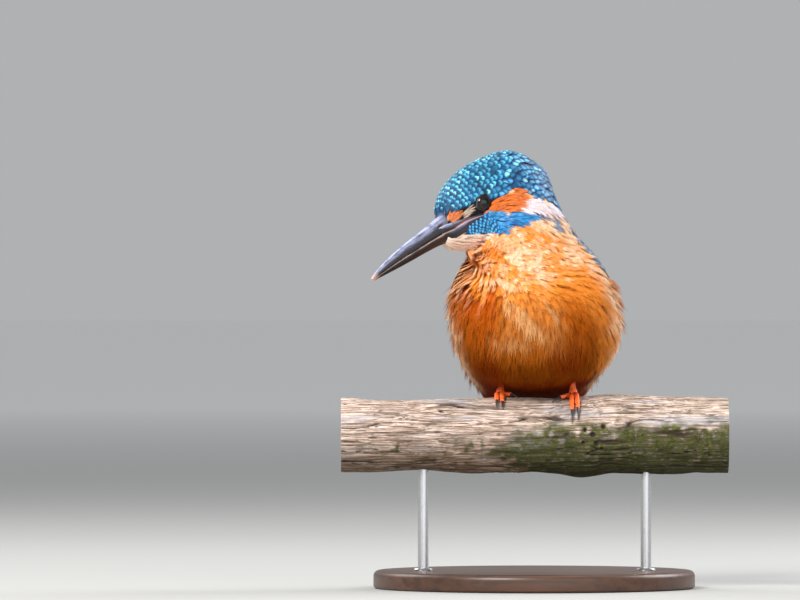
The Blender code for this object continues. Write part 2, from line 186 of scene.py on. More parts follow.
class PlumageSettings(bpy.types.PropertyGroup):
    """Colours of the feathers and how deep they lie."""

    depth: FloatProperty(
        name="Coat depth",
        description="Share of the natural depth of the coat over the skin",
        default=1.0,
        min=0.5,
        max=1.5,
    )
    crown: colour("Crown", "Ground of the crown feathers", srgb(16, 98, 150))
    crown_bar: colour("Crown bars", "Bars across the crown feathers", srgb(88, 198, 238))
    nape: colour("Nape", "Feathers behind the ear", srgb(22, 88, 150))
    cheek: colour("Cheek stripe", "Stripe below the ear", srgb(14, 106, 178))
    # Bars on the cheek stripe, and the painted highlights on its silky back.
    cheek_bar_and_highlight: colour("Cheek bars", "Bars and lights on the cheek stripe", srgb(88, 186, 236))
    slate: colour("Slate", "Dull end of the cheek stripe and skin at the nostril", srgb(84, 92, 120))
    azure: colour("Back", "Stripe down the back to the tail", srgb(20, 140, 215))
    mantle: colour("Mantle and wings", "Shoulders and wing coverts", srgb(14, 74, 100))
    wing_spot: colour("Wing spots", "Tips of the wing coverts", srgb(84, 180, 214))
    flight: colour("Flight feathers", "Inner webs of the flight feathers", srgb(34, 34, 40))
    orange: colour("Breast", "Breast feathers", srgb(246, 150, 58))
    amber: colour("Lower breast", "Feathers between the breast and the belly", srgb(222, 122, 34))
    deep_orange: colour("Flanks", "Flank feathers", srgb(194, 74, 0))
    # The lower belly and vent colours are partly the feathers' own deeper rufous, partly painted shade under
    # the body.
    lower_belly_and_shade: colour("Lower belly", "Feathers above the legs", srgb(142, 68, 5))
    vent_and_shade: colour("Vent", "Feathers round and behind the legs", srgb(124, 42, 0))
    belly: colour("Belly", "Silky middle of the belly", srgb(216, 160, 104))
    cream: colour("Cream tips", "Tips of the breast feathers", srgb(255, 226, 192))
    ear: colour("Ear coverts", "Orange patch behind the eye", srgb(218, 106, 28))
    white: colour("Neck patch", "White patch on the side of the neck", srgb(238, 222, 225))
    throat: colour("Throat", "Chin and throat", srgb(238, 212, 190))
    black: colour("Lores", "Line between the eye and the bill", srgb(24, 20, 22))


class BareSettings(bpy.types.PropertyGroup):
    """Colours of the bill, the eyes and the feet."""

    bill: colour("Bill", "Horn of the bill", srgb(34, 33, 38))
    # The lavender grey is partly the horn's grey, partly painted sky reflection.
    bill_sheen: colour("Bill bloom", "Lavender bloom on the sides and the ridge", srgb(146, 150, 182))
    lip: colour("Bill lip", "Pale edge of the lower jaw, and the tip", srgb(178, 146, 132))
    gape: colour("Gape", "Soft edge of the mouth", srgb(206, 84, 48))
    iris: colour("Iris", "Ring round the pupil", srgb(30, 19, 13))
    lid: colour("Eyelid", "Bare rim of the eye", srgb(30, 29, 33))
    foot: colour("Foot", "Skin of the legs and toes", srgb(255, 104, 44))
    claw: colour("Claw", "Horn of the claws", srgb(52, 48, 50))


class BranchSettings(bpy.types.PropertyGroup):
    """Colours and relief of the cut branch and the stand."""

    pale: colour("Weathered wood", "Sun-bleached wood", srgb(222, 202, 190))
    tan: colour("Grain", "Darker streaks of the grain", srgb(160, 132, 112))
    # Near black in the cracks and holes: painted shade in the recesses.
    crack: colour("Cracks", "Bottom of the cracks", srgb(48, 36, 28))
    moss: colour("Moss", "Moss and lichen", srgb(76, 80, 30))
    sawn: colour("Sawn end", "Fresh wood at the cut ends", srgb(206, 172, 128))
    walnut: colour("Base", "Oiled wood of the base", srgb(74, 48, 34))
    relief: FloatProperty(
        name="Relief", description="Depth of the cracks in millimetres", default=0.75, min=0.0, max=2.0
    )


class StageSettings(bpy.types.PropertyGroup):
    """The camera and the floor."""

    lens: FloatProperty(name="Lens", description="Focal length", default=400.0, unit="CAMERA")
    view_width: length("View width", "Width of the view at the bird", 0.273)
    view_across: length("View across", "Camera's distance to the bird's left of the middle", -0.0459)
    view_height: length("View height", "Height of the camera over the floor", 0.0984)
    floor: colour("Floor", "Plain studio floor", srgb(172, 172, 170))


# ---- Shapes ----


def through(rows, place):
    """Values at a place along the rows: the Catmull-Rom cubic through each pair of rows, with the slope at
    each row taken from its neighbours."""
    rows = np.asarray(rows, float)
    place = np.clip(np.atleast_1d(np.asarray(place, float)), 0, len(rows) - 1)
    first = np.minimum(place.astype(int), len(rows) - 2)
    t = (place - first)[:, None]
    padded = np.vstack([2 * rows[0] - rows[1], rows, 2 * rows[-1] - rows[-2]])
    a, b, c, d = (padded[first + k] for k in range(4))
    return 0.5 * (
        2 * b + (c - a) * t + (2 * a - 5 * b + 4 * c - d) * t**2 + (3 * b - a - 3 * c + d) * t**3
    )


def unit(vectors):
    """Vectors scaled to length one."""
    return vectors / np.maximum(np.linalg.norm(vectors, axis=-1, keepdims=True), 1e-9)


def smooth(low, high, value):
    """0 below low, 1 above high, and the cubic 3t² - 2t³ between them."""
    t = np.clip((np.asarray(value, float) - low) / (high - low), 0, 1)
    return t * t * (3 - 2 * t)


def within(low, high, soft, value):
    """1 between low and high, falling smoothly to 0 over a distance soft outside them."""
    return smooth(low - soft, low, value) * (1 - smooth(high, high + soft, value))


def mix(a, b, share):
    """Colour a turned into colour b by a share from 0 to 1."""
    share = np.asarray(share, float)[..., None]
    return np.asarray(a) * (1 - share) + np.asarray(b) * share


def noise(points, size, seed):
    """Smooth random values from -1 to 1: a random number at each corner of a lattice of cells of a size,
    blended with the cubic 3t² - 2t³ along each axis."""
    place = np.asarray(points, float) / size
    corner = np.floor(place)
    t = place - corner
    t = t * t * (3 - 2 * t)
    total = 0.0
    for offset in np.ndindex(2, 2, 2):
        weight = np.prod(np.where(np.array(offset) == 1, t, 1 - t), axis=-1)
        key = (corner + offset) @ np.array((12.9898, 78.233, 37.719)) + seed * 17.31
        value = np.sin(key) * 43758.5453
        total = total + weight * (value - np.floor(value))
    return 2 * total - 1


def head_axes():
    """The head's forward, left and up directions in the bird's frame, as rows."""
    turn, drop = math.radians(HEAD_TURN), math.radians(HEAD_DROP)
    level = math.cos(drop)
    forward = np.array((-level * math.sin(turn), -level * math.cos(turn), -math.sin(drop)))
    left = np.array((math.cos(turn), -math.sin(turn), 0.0))
    return np.array((forward, left, np.cross(forward, left)))


def from_head(f, l, h):
    """Points of the head's frame in the bird's frame."""
    return HEAD_PLACE + np.stack(np.broadcast_arrays(f, l, h), axis=-1) @ head_axes()


def body_rows():
    """One table for head and body: dorsal point, ventral point, turn, half widths, roundness."""
    rows = []
    for dorsal_f, dorsal_h, ventral_f, ventral_h, half_width, roundness in HEAD_STATIONS:
        dorsal = from_head(dorsal_f, 0.0, dorsal_h)
        ventral = from_head(ventral_f, 0.0, ventral_h)
        rows.append((*dorsal, *ventral, HEAD_TURN, half_width, half_width, roundness))
    return np.array(rows + [tuple(row) for row in BODY_STATIONS])


BODY_ROWS = body_rows()


def body_surface(station, angle):
    """Points of the feathered outline. At each station a ring runs through a dorsal and a ventral point: the
    cosine of the angle, raised to the roundness, moves along the line between them, and its sine moves
    sideways by half the width."""
    station, angle = np.broadcast_arrays(np.asarray(station, float), np.asarray(angle, float))
    rows = through(BODY_ROWS, station.ravel())
    turn = np.radians(rows[:, 6])
    lateral = np.stack((np.cos(turn), -np.sin(turn), np.zeros_like(turn)), axis=1)
    power = rows[:, 9]
    across = np.sin(angle.ravel())
    along = np.cos(angle.ravel())
    chord = 0.5 * (1 + np.sign(along) * np.abs(along) ** power)
    half_width = np.where(across >= 0, rows[:, 7], rows[:, 8])
    side = np.sign(across) * np.abs(across) ** power * half_width
    points = rows[:, 3:6] + (rows[:, 0:3] - rows[:, 3:6]) * chord[:, None] + lateral * side[:, None]
    return points.reshape(*station.shape, 3)


def body_middle(station):
    """Points halfway between the spine and the keel."""
    return 0.5 * (body_surface(station, 0.0) + body_surface(station, math.pi))


def surface_frame(station, angle):
    """Point, change of the point down the body and round it, and outward normal, by small differences."""
    small = 0.01
    down = (body_surface(station + small, angle) - body_surface(station - small, angle)) / (2 * small)
    around = (body_surface(station, angle + small) - body_surface(station, angle - small)) / (2 * small)
    return body_surface(station, angle), down, around, unit(np.cross(around, down))


def circle(count):
    """Angles once round a circle, as one row."""
    return np.linspace(0, 2 * math.pi, count, endpoint=False)[None, :]


def coat_depth(station):
    """Depth of the coat over the skin at a station."""
    places, depths = zip(*COAT_DEPTH)
    return np.interp(station, places, depths) * bpy.context.scene.kingfisher_plumage.depth


Lines = namedtuple("Lines", "points forward normals length roots seen")


def lines_from(points, normals, roots, seen=None):
    """Centre lines of feathers from their points and normals, an array of lines by steps by three. roots and
    seen are the stations and angles of their roots and of the parts that show."""
    forward = unit(np.gradient(points, axis=1))
    length = np.linalg.norm(np.diff(points, axis=1), axis=2).sum(axis=1)
    return Lines(points, forward, normals, length, roots, roots if seen is None else seen)


def choose(lines, kept):
    """Some of the lines."""
    return Lines(*(field[kept] for field in lines))


def creased(places):
    """True in the crease, where no feather can root or show, for places of stations and degrees."""
    station, degrees = places.T
    deep = (degrees < CREASE_RIGHT) | (degrees > CREASE_LEFT)
    return (station > CREASE_STATIONS[0]) & (station < CREASE_STATIONS[1]) & deep


def walk(station, angle, veer, length, rise, steps):
    """Centre lines of feathers on the body. From each root a line steps down the body, turned by an angle
    veer away from the spine, and follows the surface. It leaves the skin, at the coat's depth, at the root
    and ends at a height rise over the outline: the depth fades as the power 1.4 of what is left of the way,
    and the rise grows as the way's square."""
    station, angle = np.array(station, float), np.array(angle, float)
    roots = np.stack((station, angle), axis=1)
    veer = np.radians(veer) * np.sign(angle)
    points, normals, places = [], [], []
    depth = coat_depth(station)
    for step in range(steps):
        way = step / (steps - 1)
        point, down, around, normal = surface_frame(station, angle)
        height = -depth * (1 - way) ** 1.4 + rise * way**2
        points.append(point + normal * height[:, None])
        normals.append(normal)
        places.append(np.stack((station, np.degrees(angle)), axis=1))
        lie = unit(down) * np.cos(veer)[:, None] + np.cross(unit(down), normal) * np.sin(veer)[:, None]
        lie = lie * (length / (steps - 1))[:, None]
        off_round, off_down = np.cross(around, normal), np.cross(normal, down)
        station = station + (lie * off_round).sum(1) / (down * off_round).sum(1)
        angle = angle + (lie * off_down).sum(1) / (around * off_down).sum(1)
        station = np.clip(station, 0.02, len(BODY_ROWS) - 1.02)
    seen = places[round(0.75 * (steps - 1))]
    return lines_from(np.stack(points, axis=1), np.stack(normals, axis=1), roots, seen)


def drape(lines, along, across, above):
    """Points of feathers from places along, across and above their centre lines, all in millimetres, and the
    body's normals there. A place past the tip goes straight on."""
    count, steps = lines.points.shape[:2]
    place = np.clip(along / lines.length[:, None], 0, 1) * (steps - 1)
    first = np.minimum(place.astype(int), steps - 2)
    share = (place - first)[..., None]
    pick = np.arange(count)[:, None]

    def between(field):
        return field[pick, first] * (1 - share) + field[pick, first + 1] * share

    forward, normal = unit(between(lines.forward)), unit(between(lines.normals))
    side = np.cross(forward, normal)
    past = np.maximum(along - lines.length[:, None], 0)[..., None]
    points = between(lines.points) + forward * past + side * across[..., None] + normal * above[..., None]
    return points, normal


def scatter(spacing, seed, stations):
    """Roots spread over the body at least a spacing apart. spacing(station, angle) gives the distance, or 0
    where no feather grows. Trial roots are drawn in proportion to each cell's area over its spacing squared,
    and each one kept clears its neighbours."""
    rng = np.random.default_rng(seed)
    edges = np.linspace(*stations, 420)
    turns = np.linspace(-math.pi, math.pi, 361)
    station, angle = np.meshgrid((edges[1:] + edges[:-1]) / 2, (turns[1:] + turns[:-1]) / 2, indexing="ij")
    _, down, around, _ = surface_frame(station, angle)
    area = np.linalg.norm(np.cross(down, around), axis=-1) * (edges[1] - edges[0]) * (turns[1] - turns[0])
    gap = spacing(station, np.degrees(angle))
    weight = np.where(gap > 0, area / np.maximum(gap, 1e-3) ** 2, 0).ravel()
    trials = rng.choice(weight.size, int(weight.sum() * 5), p=weight / weight.sum())
    station = station.ravel()[trials] + (rng.random(trials.size) - 0.5) * (edges[1] - edges[0])
    angle = angle.ravel()[trials] + (rng.random(trials.size) - 0.5) * (turns[1] - turns[0])
    gap = gap.ravel()[trials]
    points = body_surface(station, angle)
    tree = KDTree(len(points))
    for index, point in enumerate(points):
        tree.insert(point, index)
    tree.balance()
    kept = np.ones(len(points), bool)
    for index, point in enumerate(points):
        if kept[index]:
            near = [other for _, other, _ in tree.find_range(point, gap[index]) if other > index]
            kept[near] = False
    return station[kept], angle[kept]


def rows_of_roots(measure, marks, across, turns):
    """Roots in rows like bricks. measure(station, angle) grows down the body at every angle, and a row lies
    where it equals a mark. Along each row the roots lie a distance apart, given for each mark."""
    station = np.linspace(0.05, 9.6, 480)
    angle = np.radians(turns)
    values = measure(station[:, None], angle[None, :])
    stations, angles = [], []
    for index, (mark, apart) in enumerate(zip(marks, across)):
        line = np.array([np.interp(mark, column, station) for column in values.T])
        ring = body_surface(line, angle)
        arc = np.concatenate([[0], np.cumsum(np.linalg.norm(np.diff(ring, axis=0), axis=1))])
        places = np.arange(0.5 * apart * (index % 2), arc[-1], apart)
        stations.append(np.interp(places, arc, line))
        angles.append(np.interp(places, arc, angle))
    return np.concatenate(stations), np.concatenate(angles)


def crown_measure(station, angle):
    """Distance down the crown. From the bill it adds mostly how far each step leads back along the head, and
    on the nape the whole length of the step, so that rows on the crown lie square to the head."""
    points = body_surface(station, angle)
    forward = head_axes()[0]
    step = np.diff(points, axis=0)
    share = 0.35 + 0.65 * smooth(4.0, 7.0, station[1:])
    grown = -(step @ forward) * (1 - share) + np.linalg.norm(step, axis=-1) * share
    start = -((points[:1] - HEAD_PLACE) @ forward)
    return np.concatenate([start, start + np.cumsum(np.maximum(grown, 1e-4), axis=0)])


def ring_measure(station, angle):
    """Distance down the side of the head, the same all round each ring."""
    path = body_surface(station, np.full_like(station, math.radians(112)))[:, 0]
    length = np.concatenate([[0], np.cumsum(np.linalg.norm(np.diff(path, axis=0), axis=1))])
    return np.broadcast_to(length[:, None], (len(length), angle.shape[1]))


def grid_faces(rows, columns, closed=False):
    """Four-sided faces of a grid of points, row by row. A closed grid joins its last column to its first."""
    row, column = np.meshgrid(np.arange(rows - 1), np.arange(columns - (not closed)), indexing="ij")
    after = (column + 1) % columns
    low, high = row * columns, (row + 1) * columns
    return np.stack((low + column, low + after, high + after, high + column), axis=-1).reshape(-1, 4)


def ring_faces(rows, columns):
    """Faces of a stack of closed rings, with one many-sided face over its first and one over its last."""
    around = np.arange(columns)[None]
    return [grid_faces(rows, columns, closed=True), around[:, ::-1], (rows - 1) * columns + around]


def fanned(rings):
    """Points and faces of a stack of closed rings whose ends are closed by fans from their middles."""
    rows, columns = rings.shape[:2]
    middles = np.stack((rings[0].mean(axis=0), rings[-1].mean(axis=0)))
    around = np.arange(columns)
    after = (around + 1) % columns
    first, last = rows * columns, (rows - 1) * columns
    front = np.stack((np.full(columns, first), after, around), axis=1)
    back = np.stack((np.full(columns, first + 1), last + around, last + after), axis=1)
    faces = [grid_faces(rows, columns, closed=True), front, back]
    return np.concatenate([rings.reshape(-1, 3), middles]), faces


# ---- Meshes and materials ----


def mesh_piece(
    name, points, faces, finish, slot, replaces=(), tint=None, maps=None, normals=None, flip=False
):
    """An object from points in millimetres in the bird's frame and a list of arrays of faces, which flip
    turns over. It may have a colour, UV places and, for soft shading, a normal at each point."""
    points = (np.asarray(points, float).reshape(-1, 3) + BIRD_PLACE) * MM
    faces = [part[:, ::-1] if flip else part for part in faces]
    corners = np.concatenate([part.ravel() for part in faces])
    sizes = np.concatenate([np.full(len(part), part.shape[1]) for part in faces])
    mesh = bpy.data.meshes.new(name)
    mesh.vertices.add(len(points))
    mesh.vertices.foreach_set("co", points.astype(np.float32).ravel())
    mesh.loops.add(len(corners))
    mesh.loops.foreach_set("vertex_index", corners.astype(np.int32))
    mesh.polygons.add(len(sizes))
    mesh.polygons.foreach_set("loop_start", np.concatenate([[0], np.cumsum(sizes)[:-1]]).astype(np.int32))
    mesh.update(calc_edges=True)
    mesh.shade_smooth()
    if tint is not None:
        tint = np.asarray(tint, float).reshape(-1, 3)
        rgba = np.concatenate([tint, np.ones((len(tint), 1))], axis=1)
        mesh.color_attributes.new("tint", "FLOAT_COLOR", "POINT").data.foreach_set("color", rgba.ravel())
    for title, places in (maps or {}).items():
        layer = mesh.uv_layers.new(name=title)
        layer.uv.foreach_set("vector", np.asarray(places, float).reshape(-1, 2)[corners].ravel())
    mesh.materials.append(finish)
    if normals is not None:
        mesh.normals_split_custom_set_from_vertices(unit(normals.reshape(-1, 3)).tolist())
    piece = bpy.data.objects.new(name, mesh)
    bpy.context.scene.collection.objects.link(piece)
    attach(piece, "root")
    if replaces:
        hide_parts(*replaces)
    return piece


class Nodes:
    """A short hand for building a procedural material."""

    def __init__(self, name):
        self.material = bpy.data.materials.new(name)
        self.material.use_nodes = True
        self.tree = self.material.node_tree

    def add(self, kind, inputs=None, **values):
        """A node with its own values and its inputs, each a number, a colour or another node's socket."""
        node = self.tree.nodes.new(kind)
        for key, value in values.items():
            setattr(node, key, value)
        self.link(node, inputs or {})
        return node

    def link(self, node, inputs):
        """Fills a node's inputs, given by their names or numbers."""
        for key, value in inputs.items():
            socket = node.inputs[key]
            if isinstance(value, bpy.types.NodeSocket):
                self.tree.links.new(value, socket)
            else:
                socket.default_value = (*value, 1.0) if socket.type == "RGBA" else value

    def surface(self, **inputs):
        """Sets the shader's own sockets, whose names are written with underscores."""
        shader = self.tree.nodes["Principled BSDF"]
        self.link(shader, {key.replace("_", " "): value for key, value in inputs.items()})
        return self.material

    def place(self, scale=(1, 1, 1), shift=(0, 0, 0), uv=None):
        """Object coordinates in millimetres, or a UV map's, stretched and shifted."""
        if uv:
            source = self.add("ShaderNodeUVMap", uv_map=uv).outputs["UV"]
        else:
            source = self.add("ShaderNodeTexCoord").outputs["Object"]
            scale = tuple(value / MM for value in scale)
        mapping = self.add("ShaderNodeMapping", {"Vector": source, "Scale": scale, "Location": shift})
        return mapping.outputs["Vector"]

    def noise(self, vector, scale, detail, roughness=0.55, distortion=0.0):
        inputs = {"Vector": vector, "Scale": scale, "Detail": detail}
        inputs.update({"Roughness": roughness, "Distortion": distortion})
        return self.add("ShaderNodeTexNoise", inputs).outputs["Fac"]

    def ramp(self, value, *stops):
        """A colour ramp through stops, each a place and a colour or a grey."""
        node = self.add("ShaderNodeValToRGB", {"Fac": value})
        while len(node.color_ramp.elements) < len(stops):
            node.color_ramp.elements.new(0.5)
        for element, (place, shade) in zip(node.color_ramp.elements, stops):
            element.position = place
            element.color = (*np.broadcast_to(shade, 3), 1.0)
        return node.outputs["Color"]

    def map(self, value, low, high, to_low=0.0, to_high=1.0):
        inputs = {"Value": value, "From Min": low, "From Max": high, "To Min": to_low, "To Max": to_high}
        return self.add("ShaderNodeMapRange", inputs).outputs["Result"]

    def math(self, operation, *values):
        return self.add("ShaderNodeMath", dict(enumerate(values)), operation=operation).outputs[0]

    def away(self, centre=(0, 0, 0)):
        """Distance from a place given in millimetres."""
        inputs = {0: self.place(), 1: tuple(centre)}
        return self.add("ShaderNodeVectorMath", inputs, operation="DISTANCE").outputs["Value"]

    def parts(self, colour):
        """A colour's red, green and blue, by name."""
        return self.add("ShaderNodeSeparateColor", {"Color": colour}).outputs

    def blend(self, share, a, b, how="MIX"):
        return self.add("ShaderNodeMix", {0: share, 6: a, 7: b}, data_type="RGBA", blend_type=how).outputs[2]

    def bump(self, height, strength, distance):
        inputs = {"Height": height, "Strength": strength, "Distance": distance * MM}
        return self.add("ShaderNodeBump", inputs).outputs["Normal"]

    def tint(self):
        """The colour stored at each point of the mesh."""
        return self.add("ShaderNodeVertexColor", layer_name="tint").outputs["Color"]


# Finishes of the feathers: roughness, barbs along a feather, their contrast, sheen and specular level.
FEATHER_FINISHES = {
    "Barred blue feather": (0.45, 60.0, 0.2, 0.03, 0.25),
    "Cheek feather": (0.45, 50.0, 0.2, 0.03, 0.25),
    "Fine face feather": (0.7, 40.0, 0.08, 0.1, 0.15),
    "Soft breast feather": (0.8, 45.0, 0.12, 0.0, 0.03),
    "Glossy blue feather": (0.42, 60.0, 0.18, 0.03, 0.3),
    "Flight feather": (0.45, 90.0, 0.3, 0.05, 0.4),
    "Wing covert": (0.42, 60.0, 0.2, 0.03, 0.3),
    "Tail feather": (0.42, 90.0, 0.28, 0.05, 0.45),
}


def feather_material(name):
    """Feathers: the stored colour, darkened and lightened along fine barbs that slant from the shaft to the
    edge, with the same barbs as relief. The map's first number runs across the feather, its second along."""
    roughness, barbs, contrast, sheen, specular = FEATHER_FINISHES[name]
    made = Nodes(name)
    spot = made.add("ShaderNodeSeparateXYZ", {"Vector": made.place(uv="vane")}).outputs
    slant = made.math("MULTIPLY_ADD", made.math("ABSOLUTE", spot["X"]), -0.55, spot["Y"])
    wave = made.math("SINE", made.math("MULTIPLY", slant, barbs))
    patches = made.map(made.noise(made.place(), 1.6, 3.0), 0.3, 0.7, 0.86, 1.1)
    value = made.math("MULTIPLY", made.map(wave, -1.0, 1.0, 1 - contrast, 1.0), patches)
    grey = made.add("ShaderNodeCombineColor", {"Red": value, "Green": value, "Blue": value}).outputs["Color"]
    return made.surface(
        Base_Color=made.blend(1.0, made.tint(), grey, "MULTIPLY"),
        Roughness=roughness,
        Sheen_Weight=sheen,
        Sheen_Roughness=0.5,
        Specular_IOR_Level=specular,
        Normal=made.bump(wave, 0.25, 0.04),
    )


def skin_material():
    """Skin between the feathers: the stored colour darkened, with soft mottling and relief."""
    made = Nodes("Skin")
    mottle = made.noise(made.place(), 0.9, 5.0)
    shade = made.blend(made.map(mottle, 0.3, 0.7, 0.1, 0.35), made.tint(), (0.03, 0.02, 0.015))
    return made.surface(Base_Color=shade, Roughness=0.85, Normal=made.bump(mottle, 0.5, 0.3))


# ---- Markings ----


BREAST, THROAT, LORE, NECK, EARS, CHEEKS, BLUE, NAKED = range(8)
# Pale streaks on the belly: both ends as (station, degrees), half width in millimetres and strength. The
# line of the orange band down the breast, and the middles of the dark patches over the thighs, which are
# partly the feathers' own deeper rufous and partly painted shade.
BELLY_LIGHTS = (
    ((9.75, 198), (10.75, 180), 3.0, 0.95),
    ((9.85, 165), (10.45, 163), 2.6, 0.7),
    ((11.2, 210), (11.3, 186), 2.4, 0.5),
    ((10.3, 190), (10.9, 172), 3.5, 0.35),
)
ORANGE_BAND = ((8.2, 102), (9.4, 128))
THIGHS = ((12.3, 214), (11.7, 159), (13.8, 180))


def crown_edge(station):
    """Angle from the spine down to the lower edge of the blue of crown, nape and back."""
    return np.interp(station, *zip(*CROWN_EDGE))


def inside(outline, station, side):
    """True inside a closed outline, where a ray towards higher stations crosses its sides an odd number of
    times."""
    places = np.array(outline, float)
    odd = np.zeros(np.shape(station), bool)
    for (s0, a0), (s1, a1) in zip(places, np.roll(places, -1, axis=0)):
        if a0 != a1:
            crossing = s0 + (side - a0) * (s1 - s0) / (a1 - a0)
            odd ^= ((a0 > side) != (a1 > side)) & (station < crossing)
    return odd


def patch_at(station, degrees):
    """The patch of plumage at a station and an angle in degrees, as a whole number."""
    side = np.abs(degrees)
    face = (station < 5.0) & (side < np.interp(station, (0, 3.1, 4.45, 5.0), (90, 106, 102, 99)))
    throat = (side > 100) & (station < np.interp(side, *zip(*THROAT_END)))
    small = np.hypot((station - 8.2) / 0.26, (side - 77.5) / 8) < 1
    patch = np.full(np.shape(station), BREAST)
    for where, name in (
        (throat, THROAT),
        (face, LORE),
        (inside(NECK_PATCH, station, side), NECK),
        (inside(EAR, station, side), EARS),
        (inside(CHEEK, station, side) | small, CHEEKS),
        (side < crown_edge(station), BLUE),
        (inside(BARE, station, side), NAKED),
    ):
        patch = np.where(where, name, patch)
    return patch


def line_distance(station, degrees, start, end):
    """Distance over the belly to a straight line between two places. The scale gives the millimetres to a
    station and to a degree there."""
    scale = np.array((9.6, 0.47))
    place = np.stack(np.broadcast_arrays(station, np.mod(degrees, 360)), axis=-1) * scale
    start, along = np.array(start) * scale, (np.array(end) - np.array(start)) * scale
    share = np.clip((place - start) @ along / max(along @ along, 1e-9), 0, 1)
    return np.linalg.norm(place - start - share[..., None] * along, axis=-1)


def breast_colours(station, degrees):
    """Ground and tip colours of breast, flanks, belly and vent. The upper breast is mottled with cream tips,
    the flanks are deep orange. The bird's right is deeper and less mottled, partly in its plumage and partly
    as painted shade, and its left flank is painted lighter: painted light. The middle of the belly is pale
    and silky, and it darkens over the thighs and at the vent, partly in the feathers' own deeper rufous and
    partly as painted shade. Along both outlines, as seen from the front, a rim of tips is painted pale:
    painted back light."""
    look = bpy.context.scene.kingfisher_plumage
    side = np.abs(degrees)
    points = body_surface(station, np.radians(degrees))
    wander = station + 0.22 * noise(points, 5.0, 8)

    # The bird's right is deeper orange further up and less mottled: partly its plumage, partly painted shade.
    right = within(85, 142, 12, side) * (degrees < 0)
    deep = within(104, 150, 12, side) * within(9.4, 12.4, 0.5, wander - 0.8 * right)
    deep = deep * np.where(degrees < 0, 1.0, smooth(9.6, 11.2, wander))
    ground = mix(look.orange, look.amber, smooth(9.0, 10.2, wander) * 0.8)
    ground = mix(ground, look.deep_orange, deep)
    # Darker towards the vent and over the thighs: partly the feathers' own deeper rufous, partly painted
    # shade under the body.
    ground = mix(ground, look.lower_belly_and_shade, smooth(9.2, 11.0, wander) * (0.75 + 0.25 * smooth(11, 12, wander)))
    for place in THIGHS:
        away = line_distance(station, degrees, place, place)
        ground = mix(ground, look.vent_and_shade, 0.8 * (1 - smooth(3.0, 9.0, away)))
    ground = mix(ground, look.vent_and_shade, smooth(12.8, 13.6, wander))
    # Painted light: the bird's left flank is lightened towards orange, in ground and tips.
    lit = within(98, 126, 14, side) * within(9.4, 12.6, 0.6, wander) * (degrees > 0)
    ground = mix(ground, look.orange, 0.4 * lit)
    tip = mix(ground, look.orange, np.maximum(0.1 * (1 - smooth(11.0, 12.5, station)), 0.35 * lit))

    patch = 0.5 + 0.4 * noise(points, 6.0, 3) + 0.5 * noise(points, 3.0, 5)
    upper = within(6.2, 8.9, 0.55, wander - 1.1 * right * (wander > 8)) * np.clip(2.2 * patch - 0.6, 0, 1)
    upper = upper * (1 - 0.45 * smooth(8.8, 9.5, wander) * right)
    upper = upper * (0.2 + 0.8 * smooth(2.5, 5.5, line_distance(station, degrees, *ORANGE_BAND)))

    belly = 0.2 * smooth(144, 164, side) * within(9.6, 11.2, 0.4, wander)
    belly = belly * np.clip(0.6 + noise(points, 3.0, 21), 0, 1)
    for start, end, wide, share in BELLY_LIGHTS:
        away = line_distance(station, degrees, start, end) + 0.8 * noise(points, 2.5, 9)
        belly = np.maximum(belly, share * (1 - smooth(0.4 * wide, wide, away)))

    # Painted back light: a pale rim of tips along both outlines as seen from the front, stronger on the
    # bird's left.
    turned = side + np.interp(station, (8, 9, 10, 11, 12), (36, 20, 8, 2, 0)) * np.sign(degrees)
    inner = np.interp(station, (9.4, 10.2, 11.3), (103, 109, 122)) + 5 * noise(points, 3.0, 15)
    rim = smooth(82, 92, turned) * (1 - smooth(inner - 14, inner + 8, side)) * within(9.4, 14.2, 0.7, station)
    rim = rim * np.clip(0.72 + 0.15 * (degrees > 0) + 0.8 * noise(points, 1.8, 17), 0.1, 1)

    ground = mix(mix(ground, look.cream, 0.35 * upper), look.belly, 0.4 * belly)
    tip = mix(mix(tip, look.cream, 0.85 * upper), look.belly, belly)
    return mix(ground, look.belly, 0.2 * rim), mix(tip, mix(look.belly, look.cream, 0.9 * rim), 0.9 * rim)


def markings(station, degrees):
    """Ground and tip colours of the plumage at a station and an angle in degrees, patch by patch."""
    look = bpy.context.scene.kingfisher_plumage
    side = np.abs(degrees)
    patch = patch_at(station, degrees)
    ground, tip = breast_colours(station, degrees)
    lore = np.where(inside(LORE_SPOT, station, side)[..., None], mix(look.ear, look.cream, 0.12), look.black)
    lore = np.where(inside(BUFF_SPOT, station, side)[..., None], mix(look.throat, look.black, 0.35), lore)
    back = mix(look.nape, look.azure, smooth(8.6, 10.0, station))
    blue = mix(look.crown, back, smooth(5.4, 7.4, station + side / 70))
    cheek = mix(look.cheek, look.slate, smooth(7.15, 7.7, station))
    for name, low, high in (
        (THROAT, look.throat, mix(look.throat, look.white, 0.4)),
        (LORE, lore, lore),
        (NECK, look.white, look.white),
        (EARS, look.ear, mix(look.ear, look.cream, 0.08)),
        (CHEEKS, cheek, cheek),
        (BLUE, blue, blue),
        (NAKED, look.slate, look.slate),
    ):
        chosen = (patch == name)[..., None]
        ground, tip = np.where(chosen, low, ground), np.where(chosen, high, tip)
    return ground, tip


# ---- Feathers ----


def bake_map(roots, count, across, along):
    """Each feather's patch, 0.003 across, at its root's place on an unwrap by angle and station."""
    place = np.stack((roots[:, 1] / (2 * math.pi) + 0.5, roots[:, 0] / (len(BODY_ROWS) - 1)), axis=1)
    place = np.clip(place, 0, 1) * 0.98 + 0.01
    local = np.stack((across * 0.5, along - 0.5), axis=-1) * 0.003
    return (place[:, None] + np.broadcast_to(local, (len(roots), count, 2))).reshape(-1, 2)


def vary(tint, rng, amount):
    """Colours made a little lighter or darker from feather to feather."""
    return np.clip(tint * (1 + amount * rng.standard_normal((len(tint), 1, 1))), 0, 1)


